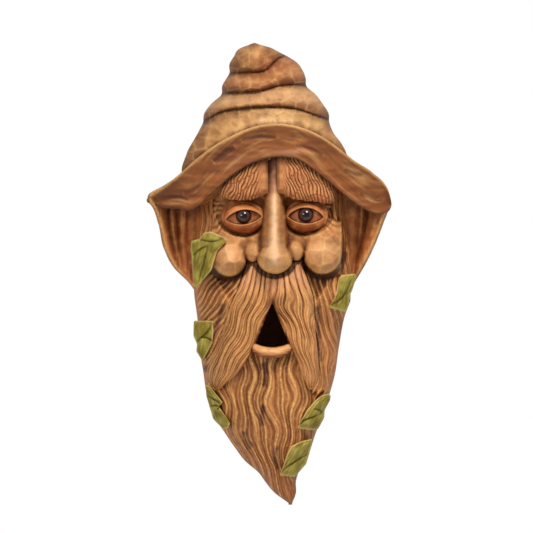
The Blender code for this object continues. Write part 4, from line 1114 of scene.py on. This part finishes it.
def brim_front(x_at):
    """The brim's carved front, from its foot to its upper edge, and its depth without the carving."""
    v = np.linspace(0, 1, BRIM_POINTS)
    x = x_at[:, None] + 0 * v
    foot, top = BRIM_FOOT(x), BRIM_TOP(x)
    z = foot + (top - foot) * (1 - np.cos(math.pi * v)) / 2
    share = (z - foot) / (top - foot)
    inset = np.minimum(z - foot, top - z)
    lean = BRIM_DEPTH(x) + 2.2 * share - 1.3 * np.sin(math.pi * share)
    dents = sum(groove(x, z, path, width, deep) for path, width, deep in BRIM_DENTS)
    relief = dents + 0.14 * wander(x, z, 4, 1.3, 82) + 0.06 * wander(x, z, 1.6, 0.7, 84)
    depth = lean + relief * ease(0, 0.8, inset) + 0.8 * rounded_edge(inset, 0.7) - 0.8
    # Lighter paint with a painted highlight along the upper edge
    rim = bell(top - z, 0.55)
    streaks = wander(x, z, 3.5, 0.6, 83)
    # Streaks, painted shade towards the left tip, plum in the dents, and the lighter upper edge
    paint = coated(BRIM, (BRIM_DARK, 0.35 + 0.45 * streaks), (BRIM_DARK, 0.6 * ease(-16, -24, x)),
                   (PLUM, 1.2 * np.clip(-dents, 0, 1)), (FELT, 0.75 * rim))
    # Painted shade along the foot
    wash_and_shade, flow = 0.7 * ease(1.2, 0, z - foot), (0.06 * x, STREAKS * (z - foot))
    return Surface(x, z, depth, paint, wash_and_shade, 0.4 * rim, flow).wash_shade_and_highlight(8, 0.8, 0.8), lean


def brim():
    """The turned-up brim, as sections from one tip to the other."""
    start, end = BRIM_ENDS
    x_at = start + (end - start) * (1 - np.cos(math.pi * np.linspace(0, 1, BRIM_SECTIONS))) / 2
    surface, lean = brim_front(x_at)
    foot, top = BRIM_FOOT(x_at)[:, None], BRIM_TOP(x_at)[:, None]
    behind = np.clip(lean[:, :1] - np.array([[7.0, 3.0]]), THINNEST, None)
    behind_top = np.clip(lean[:, -1:] - np.array([[2.4, 6.0]]), THINNEST, None)
    z = np.concatenate([foot + np.array([[1.1, 0.35]]), surface.z, top - np.array([[0.4, 1.3]])], 1)
    depth = np.concatenate([behind, surface.depth, behind_top], 1)
    x = x_at[:, None] + 0 * z
    close = np.maximum(rounded_edge(np.minimum(x - start, end - x), 0.9), 0.04)
    middle_z, middle_depth = z.mean(1, keepdims=True), depth.mean(1, keepdims=True)
    z, depth = middle_z + (z - middle_z) * close, middle_depth + (depth - middle_depth) * close
    return ring_piece("hat_brim", to_metres(x, z, depth)[:, ::-1],
                      *[padded(coat, 2)[:, ::-1] for coat in surface.coats()])


# The leaves, as middle, outline and creases
LEAVES = {
    "left_cheek": (
        (-15.0, 54.2), ((-17.6, 55.4), (-17.4, 57.1), (-15.6, 57.6), (-14.7, 58.9), (-13.1, 59.2),
        (-9.35, 57.4), (-11.7, 55.1), (-12.4, 52.9), (-13.0, 50.8), (-14.9, 48.6), (-16.2, 47.0),
        (-16.9, 47.5), (-17.1, 50.8), (-17.3, 53.3)),
        ([(-17.2, 53.7), (-15.6, 55.2), (-13.8, 56.1)], [(-16.0, 57.4), (-12.7, 57.0), (-10.2, 57.8)],
        [(-15.9, 48.0), (-14.8, 52.0), (-13.8, 56.1)])),
    "left_beard": (
        (-14.8, 36.6), ((-16.9, 39.9), (-12.7, 40.0), (-12.6, 37.5), (-12.9, 34.8), (-15.0, 31.1),
        (-16.35, 33.3), (-16.2, 34.8), (-17.0, 36.7)),
        ([(-13.3, 39.4), (-13.6, 38.0), (-14.6, 36.8), (-15.6, 36.0), (-16.1, 35.2)],
        [(-15.2, 36.2), (-14.4, 36.3), (-13.1, 35.7), (-12.7, 35.2)])),
    "left_low": (
        (-12.0, 20.8), ((-14.4, 26.3), (-13.1, 25.4), (-10.6, 22.3), (-11.5, 21.5), (-9.0, 17.8),
        (-9.4, 16.7), (-10.6, 16.5), (-12.7, 18.6), (-13.5, 21.3), (-14.2, 23.7)),
        ([(-14.0, 23.8), (-12.6, 23.0), (-11.1, 22.1)], [(-13.4, 21.5), (-12.4, 21.6), (-11.4, 21.4)])),
    "right_side": (
        (15.4, 45.6), ((15.0, 49.8), (17.9, 50.1), (18.2, 49.3), (17.3, 46.4), (16.8, 45.5), (16.7, 43.8),
        (15.85, 41.7), (14.5, 42.1), (12.0, 42.8), (13.2, 44.3), (13.9, 46.3), (14.1, 48.1), (14.4, 49.1)),
        ([(12.3, 43.1), (14.7, 44.4), (16.2, 46.5), (17.3, 49.4)],)),
    "right_beard": (
        (9.2, 19.8), ((12.2, 24.2), (12.7, 23.7), (12.5, 22.6), (11.4, 20.6), (11.3, 18.9), (10.0, 16.5),
        (8.8, 16.2), (5.4, 16.7), (6.4, 18.6), (7.6, 20.8), (9.3, 22.7), (10.7, 23.8)),
        ([(5.7, 17.2), (6.8, 18.3), (9.1, 19.2), (10.8, 19.9)], [(8.9, 20.8), (10.1, 20.7), (10.9, 19.9)])),
    "right_low": (
        (5.5, 10.4), ((8.7, 14.4), (8.4, 12.35), (7.8, 10.2), (7.4, 8.9), (5.4, 6.6), (4.9, 6.1),
        (1.6, 6.5), (2.5, 8.7), (3.3, 11.4), (4.2, 12.9), (6.4, 13.9)),
        ([(2.0, 7.0), (4.0, 8.8), (6.2, 10.2), (8.0, 11.3)],)),
}
LEAF_GRIP = 2.0
LEAF_STEEPEST = 1.0
LEAF_RINGS, LEAF_POINTS = 40, 150
LEAF_BACK_RINGS = [0, 20, 39]
VEIN = (0.2, 0.5)


def smooth_front(x, z):
    """The depth of the hair or the skin under a leaf, without its strands."""
    return np.maximum(head_mass(x, z), face(x, z))


def leaf_edge(outline):
    """The leaf's outline with its corners softened, in one direction around it."""
    corners = np.array(outline)
    along = np.linspace(0, len(corners), LEAF_POINTS, endpoint=False)
    start = np.floor(along).astype(int)
    share = (along - start)[:, None]
    edge = corners[start] * (1 - share) + corners[(start + 1) % len(corners)] * share
    for step in range(3):
        edge = (np.roll(edge, 1, 0) + 2 * edge + np.roll(edge, -1, 0)) / 4
    x, z = edge.T
    clockwise = np.sum(x * np.roll(z, -1) - np.roll(x, -1) * z) < 0
    return edge[::-1] if clockwise else edge


def leaf_bed(x, z, held):
    """The slanted plane that a leaf lies on, just clear of the hair and the skin under it."""
    columns = np.stack([np.ones(held.sum()), x[held], z[held]], 1)
    bed_there = smooth_front(x[held], z[held])
    plane = np.linalg.lstsq(columns, bed_there, rcond=None)[0]
    plane[1:] = np.clip(plane[1:], -LEAF_STEEPEST, LEAF_STEEPEST)
    plane[0] = np.mean(bed_there - columns[:, 1:] @ plane[1:])
    return plane[0] + plane[1] * x + plane[2] * z + (bed_there - columns @ plane).max()


def leaf(name, middle, outline, creases):
    middle, edge = np.array(middle), leaf_edge(outline)
    reaches = 1 - np.linspace(0, 0.97, LEAF_RINGS)
    places = middle + (edge - middle) * reaches[:, None, None]
    x, z = places[..., 0], places[..., 1]
    inset = head_inset(x, z)
    from_edge = np.linalg.norm(edge - middle, axis=1)[None] * (1 - reaches[:, None])
    veins = sum(groove(x, z, path, *VEIN) + groove(x, z, path, 1.0, 0.35) for path in creases)
    depth = leaf_bed(x, z, inset > LEAF_GRIP) + 1.0 + 0.5 * rounded_edge(from_edge, 0.35) - 0.5
    depth = depth + 0.5 * (1 - reaches[:, None])
    depth = depth + 0.9 * ease(0, 1.6, from_edge) * 0.5 + veins * ease(0, 0.5, from_edge)
    depth = depth + 0.18 * wander(x, z, 1.4, 1.4, 91) - 0.12 * bell(from_edge - 0.7, 0.4)
    axis = np.linalg.svd(edge - edge.mean(0), full_matrices=False)[2][0]
    lengthwise, crosswise = x * axis[0] + z * axis[1], z * axis[0] - x * axis[1]
    depth = depth + 0.1 * wander(crosswise, lengthwise, 0.45, 2.5, 93) * ease(0, 0.8, from_edge)
    inner = (x - middle[0]) * (1 if middle[0] < 0 else -1) + 0.5 * (z - middle[1])
    rim = np.where((inner > 0)[..., None], LEAF_RIM, LEAF_LIGHT)
    paint = coated(LEAF, (LEAF_LIGHT, 0.4 + 0.6 * wander(x, z, 1.6, 1.6, 92)),
                   (LEAF_DARK, 0.5 * ease(0.2, 0.9, wander(x, z, 2.0, 1.4, 94))),
                   (rim, bell(from_edge, 0.38)))
    wash_and_shade = np.clip(-1.9 * sum(groove(x, z, path, *VEIN) for path in creases), 0, 1)
    crest = 0.45 * bell(from_edge - 0.12, 0.16)
    surface = Surface(x, z, depth, paint, wash_and_shade, crest, (1.1 * crosswise, 0.2 * lengthwise))
    thickness = LEAF_THICKNESS / UNIT + 1.6 * ease(-0.5, LEAF_GRIP, inset)
    behind = np.maximum(depth - thickness, 0.6)[LEAF_BACK_RINGS]
    back = to_metres(x[LEAF_BACK_RINGS], z[LEAF_BACK_RINGS], behind)
    plain = [np.broadcast_to(value, (len(back), *coat.shape[1:]))
             for value, coat in zip((LEAF_BACK, 0.0, 0.0, 0.0), surface.coats())]
    return ring_piece("leaf_" + name, np.concatenate([back[::-1], to_metres(x, z, depth)]),
                      *[np.concatenate(pair) for pair in zip(plain, surface.coats())])


# Materials, with the noises as scale and detail, and the bumps as strength and depth in metres
PATCHES, GRAIN, BRUSHING = (55, 4), (420, 3), (2.2, 5)
BACK_GRAIN, FLECKS, FLOOR_SHADE = (300, 4), (900, 2), (3, 2)
RESIN_BUMP, BACK_BUMP = (0.22, 0.0006), (0.3, 0.0004)
RESIN_ROUGHNESS, LEAF_ROUGHNESS, BACK_ROUGHNESS, FLOOR_ROUGHNESS = 0.42, 0.4, 0.6, 0.9
RESIN_SPECULAR = 0.18
BEAD_SHINE = {"Roughness": 0.08, "Specular IOR Level": 0.2, "Coat Weight": 0.6, "Coat Roughness": 0.03}
FLOOR_GREYS = ((0.78, 0.78, 0.78), (0.84, 0.84, 0.84))


class Look:
    """One material: its nodes, each made by the name of its kind, and its shader."""

    def __init__(self, name):
        self.material = bpy.data.materials.new(name)
        self.material.use_nodes = True
        self.tree = self.material.node_tree
        self.shader = self.tree.nodes["Principled BSDF"]

    def feed(self, socket, value):
        """Links a node's output to a socket, or sets the socket to a number or a colour."""
        if isinstance(value, bpy.types.NodeSocket):
            self.tree.links.new(value, socket)
        else:
            socket.default_value = (*value, 1) if np.ndim(value) else value

    def shade(self, socket, value):
        self.feed(self.shader.inputs[socket], value)

    def node(self, kind, output, inputs, **settings):
        made = self.tree.nodes.new("ShaderNode" + kind)
        for name, value in settings.items():
            setattr(made, name, value)
        for place, value in inputs.items():
            self.feed(made.inputs[place], value)
        return made.outputs[output]

    def noise(self, scale, detail, where=None):
        where = where or self.node("TexCoord", "Object", {})
        return self.node("TexNoise", "Fac", {"Vector": where, "Scale": scale, "Detail": detail})

    def ramp(self, value, low, high, to_low=0.0, to_high=1.0):
        return self.node("MapRange", "Result", {"Value": value, "From Min": low, "From Max": high,
                                                "To Min": to_low, "To Max": to_high})

    def multiply(self, a, b):
        return self.node("Math", 0, {0: a, 1: b}, operation="MULTIPLY")

    def mix(self, factor, a, b):
        return self.node("Mix", 2, {0: factor, 6: a, 7: b}, data_type="RGBA")

    def attribute(self, name, output="Fac"):
        return self.node("Attribute", output, {}, attribute_name=name)

    def bump(self, height, strength, distance):
        bumps = {"Strength": strength, "Distance": distance, "Height": height}
        self.shade("Normal", self.node("Bump", "Normal", bumps))


def painted(name, wash_and_shade, highlight, roughness):
    """Painted resin: a base coat, uneven brushing, dark washes and painted shade in hollows and under things,
    and dry brushing and painted highlight on crests.
    """
    look = Look(name)
    patches, grain = look.noise(*PATCHES), look.noise(*GRAIN)
    streaks = look.noise(*BRUSHING, look.attribute("flow", "Vector"))
    colour = look.mix(look.ramp(patches, 0.3, 0.7, 0.0, 0.28), look.attribute("paint", "Color"), wash_and_shade)
    colour = look.mix(look.ramp(streaks, 0.5, 0.72, 0.0, 0.4), colour, wash_and_shade)
    colour = look.mix(look.ramp(streaks, 0.48, 0.3, 0.0, 0.35), colour, highlight)
    speckle, brushed_and_lit = look.ramp(grain, 0.35, 0.65, 0.55, 1.0), look.ramp(grain, 0.3, 0.6, 0.3, 1.0)
    # Dark washes and painted shade, then dry brushing and painted highlight, where the points say
    colour = look.mix(look.multiply(look.attribute("wash_and_shade"), speckle), colour, wash_and_shade)
    colour = look.mix(look.multiply(look.attribute("crest"), brushed_and_lit), colour, highlight)
    look.shade("Base Color", colour)
    look.shade("Roughness", look.ramp(patches, 0.3, 0.7, roughness - 0.08, roughness + 0.1))
    look.shade("Specular IOR Level", RESIN_SPECULAR)
    look.bump(grain, *RESIN_BUMP)
    return look.material


def bead_material():
    """A dark glossy bead: a black pupil in a grey-plum iris, darker towards its rim."""
    look = Look("eye_bead")
    for socket, value in BEAD_SHINE.items():
        look.shade(socket, value)
    colours = look.tree.nodes.new("ShaderNodeValToRGB")
    while len(colours.color_ramp.elements) < len(BEAD_RINGS):
        colours.color_ramp.elements.new(0.5)
    for element, (place, colour) in zip(colours.color_ramp.elements, BEAD_RINGS):
        element.position = place
        element.color = (*colour, 1)
    look.feed(colours.inputs["Fac"], look.attribute("from_middle"))
    flecks = look.ramp(look.noise(*FLECKS), 0.4, 0.7, 0.0, 0.35)
    look.shade("Base Color", look.mix(flecks, colours.outputs["Color"], BEAD_FLECK))
    return look.material


def plain_back():
    look = Look("back_resin")
    look.shade("Roughness", BACK_ROUGHNESS)
    grain = look.noise(*BACK_GRAIN)
    colour = look.mix(look.ramp(grain, 0.3, 0.7), BACK_LOW, BACK_HIGH)
    look.shade("Base Color", colour)
    look.bump(grain, *BACK_BUMP)
    return look.material


def finish_piece(piece, material, node="body"):
    piece.data.materials.clear()
    piece.data.materials.append(material)
    piece.data.shade_smooth()
    piece.data.set_sharp_from_angle(angle=math.radians(SHARP_DEGREES))
    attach(piece, "root")
    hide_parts(node)


def build_casting():
    resin = painted("painted_resin", WASH_AND_SHADE, HIGHLIGHT, RESIN_ROUGHNESS)
    chamber, mouth = chamber_cut(), mouth_cut()
    seats, slots = panel_cuts(), slot_cuts()
    head = solid("head_and_beard", head_surface(), 0.0)
    cut(head, [chamber, mouth, *seats])
    crown = solid("hat_crown", crown_surface(), HUNG_BACKS["crown"], hung=True)
    cut(crown, [chamber, *slots])
    pieces = [head, crown, brim()]
    for side in ("left", "right"):
        pieces.append(solid("hat_flap_" + side, flap_surface(side), HUNG_BACKS["flap"], hung=True))
        moustache = solid("moustache_" + side, *lock_surface(side))
        cut(moustache, [mouth])
        pieces += [moustache, solid("brow_" + side, brow_surface(side), BROW_BACK)]
    pieces += [lip(), eye_socket("left"), eye_socket("right")]
    for piece in pieces:
        finish_piece(piece, resin)
    for tool in [chamber, mouth, *seats, *slots]:
        bpy.data.objects.remove(tool)


def build_leaves():
    paint = painted("leaf_paint", LEAF_WASH_AND_SHADE, LEAF_HIGHLIGHT, LEAF_ROUGHNESS)
    for name, (middle, outline, creases) in LEAVES.items():
        finish_piece(leaf(name, middle, outline, creases), paint)


def in_order(faces):
    """The faces as lists of corners, in the same order each time."""
    corners = [[corner.index for corner in face.verts] for face in faces]
    starts = [face.index(min(face)) for face in corners]
    return sorted(face[start:] + face[:start] for face, start in zip(corners, starts))


def build_eyes():
    gloss, radius = bead_material(), EYE_RADIUS * UNIT
    for side, middle in (("left", LEFT_EYE), ("right", RIGHT_EYE)):
        shape = bmesh.new()
        bmesh.ops.create_uvsphere(shape, u_segments=64, v_segments=40, radius=radius)
        bmesh.ops.rotate(shape, verts=shape.verts, matrix=Matrix.Rotation(math.pi / 2, 3, "X"))
        bmesh.ops.translate(shape, verts=shape.verts, vec=to_metres(*middle, EYE_DEPTH))
        shape.verts.index_update()
        points, faces = np.array([point.co for point in shape.verts]), in_order(shape.faces)
        shape.free()
        mesh = bpy.data.meshes.new("bead_" + side)
        mesh.from_pydata(points.tolist(), [], faces)
        mesh.update()
        bead = placed("bead_" + side, mesh)
        away = np.hypot(points[:, 0] - middle[0] * UNIT, points[:, 2] - level(middle[1])) / radius
        bead.data.attributes.new("from_middle", "FLOAT", "POINT").data.foreach_set("value", away)
        finish_piece(bead, gloss, "eye_" + side)


# The stage, in metres and watts
FLOOR_RADIUS = 1.0
FLOOR_LEVEL = -0.62
SKY_LIGHT = 0.4
WARM_SKY = (1.0, 0.93, 0.84)
WHITE_SKY = (1.0, 1.0, 1.0)
WARM_LAMP = (1.0, 0.95, 0.87)
LAMP_AIM = (0, -0.05, -0.15)
# For each lamp: its place, its size and its power
LAMPS = {"key": ((0.55, -1.5, 1.3), 0.8, 46), "fill": ((-1.2, -1.8, 0.3), 1.0, 14)}


def build_stage():
    shape = bmesh.new()
    bmesh.ops.create_circle(shape, cap_ends=True, segments=96, radius=FLOOR_RADIUS)
    bmesh.ops.translate(shape, verts=shape.verts, vec=(0, 0, FLOOR_LEVEL))
    mesh = bpy.data.meshes.new("floor")
    shape.to_mesh(mesh)
    shape.free()
    floor = placed("floor", mesh)
    look = Look("pale_floor")
    look.shade("Roughness", FLOOR_ROUGHNESS)
    look.shade("Base Color", look.mix(look.noise(*FLOOR_SHADE), *FLOOR_GREYS))
    floor.data.materials.append(look.material)


def build_light():
    world = bpy.data.worlds.new("studio")
    bpy.context.scene.world = world
    world.use_nodes = True
    nodes, links = world.node_tree.nodes, world.node_tree.links
    dim, white = nodes["Background"], nodes.new("ShaderNodeBackground")
    for sky, colour, strength in ((dim, WARM_SKY, SKY_LIGHT), (white, WHITE_SKY, 1.0)):
        sky.inputs["Color"].default_value = (*colour, 1)
        sky.inputs["Strength"].default_value = strength
    seen = nodes.new("ShaderNodeMixShader")
    links.new(nodes.new("ShaderNodeLightPath").outputs["Is Camera Ray"], seen.inputs[0])
    links.new(dim.outputs[0], seen.inputs[1])
    links.new(white.outputs[0], seen.inputs[2])
    links.new(seen.outputs[0], nodes["World Output"].inputs["Surface"])
    for name, (place, size, power) in LAMPS.items():
        data = bpy.data.lights.new(name, "AREA")
        data.shape, data.size, data.energy, data.color = "DISK", size, power, WARM_LAMP
        lamp = placed(name, data)
        lamp.location = place
        lamp.rotation_euler = (Vector(place) - Vector(LAMP_AIM)).to_track_quat("Z", "Y").to_euler()
    bpy.context.scene.view_settings.view_transform = "Standard"


def build_camera():
    """A long lens straight in front, framed as the photograph is."""
    wide_px, unit_px = 533, 4.63
    middle_px, tip_px, axis_px = wide_px / 2, 505.5, 272
    distance, sharp_plane, sensor = 9.0, 0.04, 36.0
    data = bpy.data.cameras.new("camera")
    data.sensor_width = sensor
    data.lens = sensor * (distance - sharp_plane) / (wide_px / unit_px * UNIT)
    made = placed("camera", data)
    made.location = ((middle_px - axis_px) / unit_px * UNIT, -distance, level((tip_px - middle_px) / unit_px))
    made.rotation_euler = (math.pi / 2, 0, 0)
    bpy.context.scene.camera = made


build_casting()
build_leaves()
build_eyes()
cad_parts["back_panel"].data.materials.clear()
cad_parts["back_panel"].data.materials.append(plain_back())
build_stage()
build_light()
build_camera()
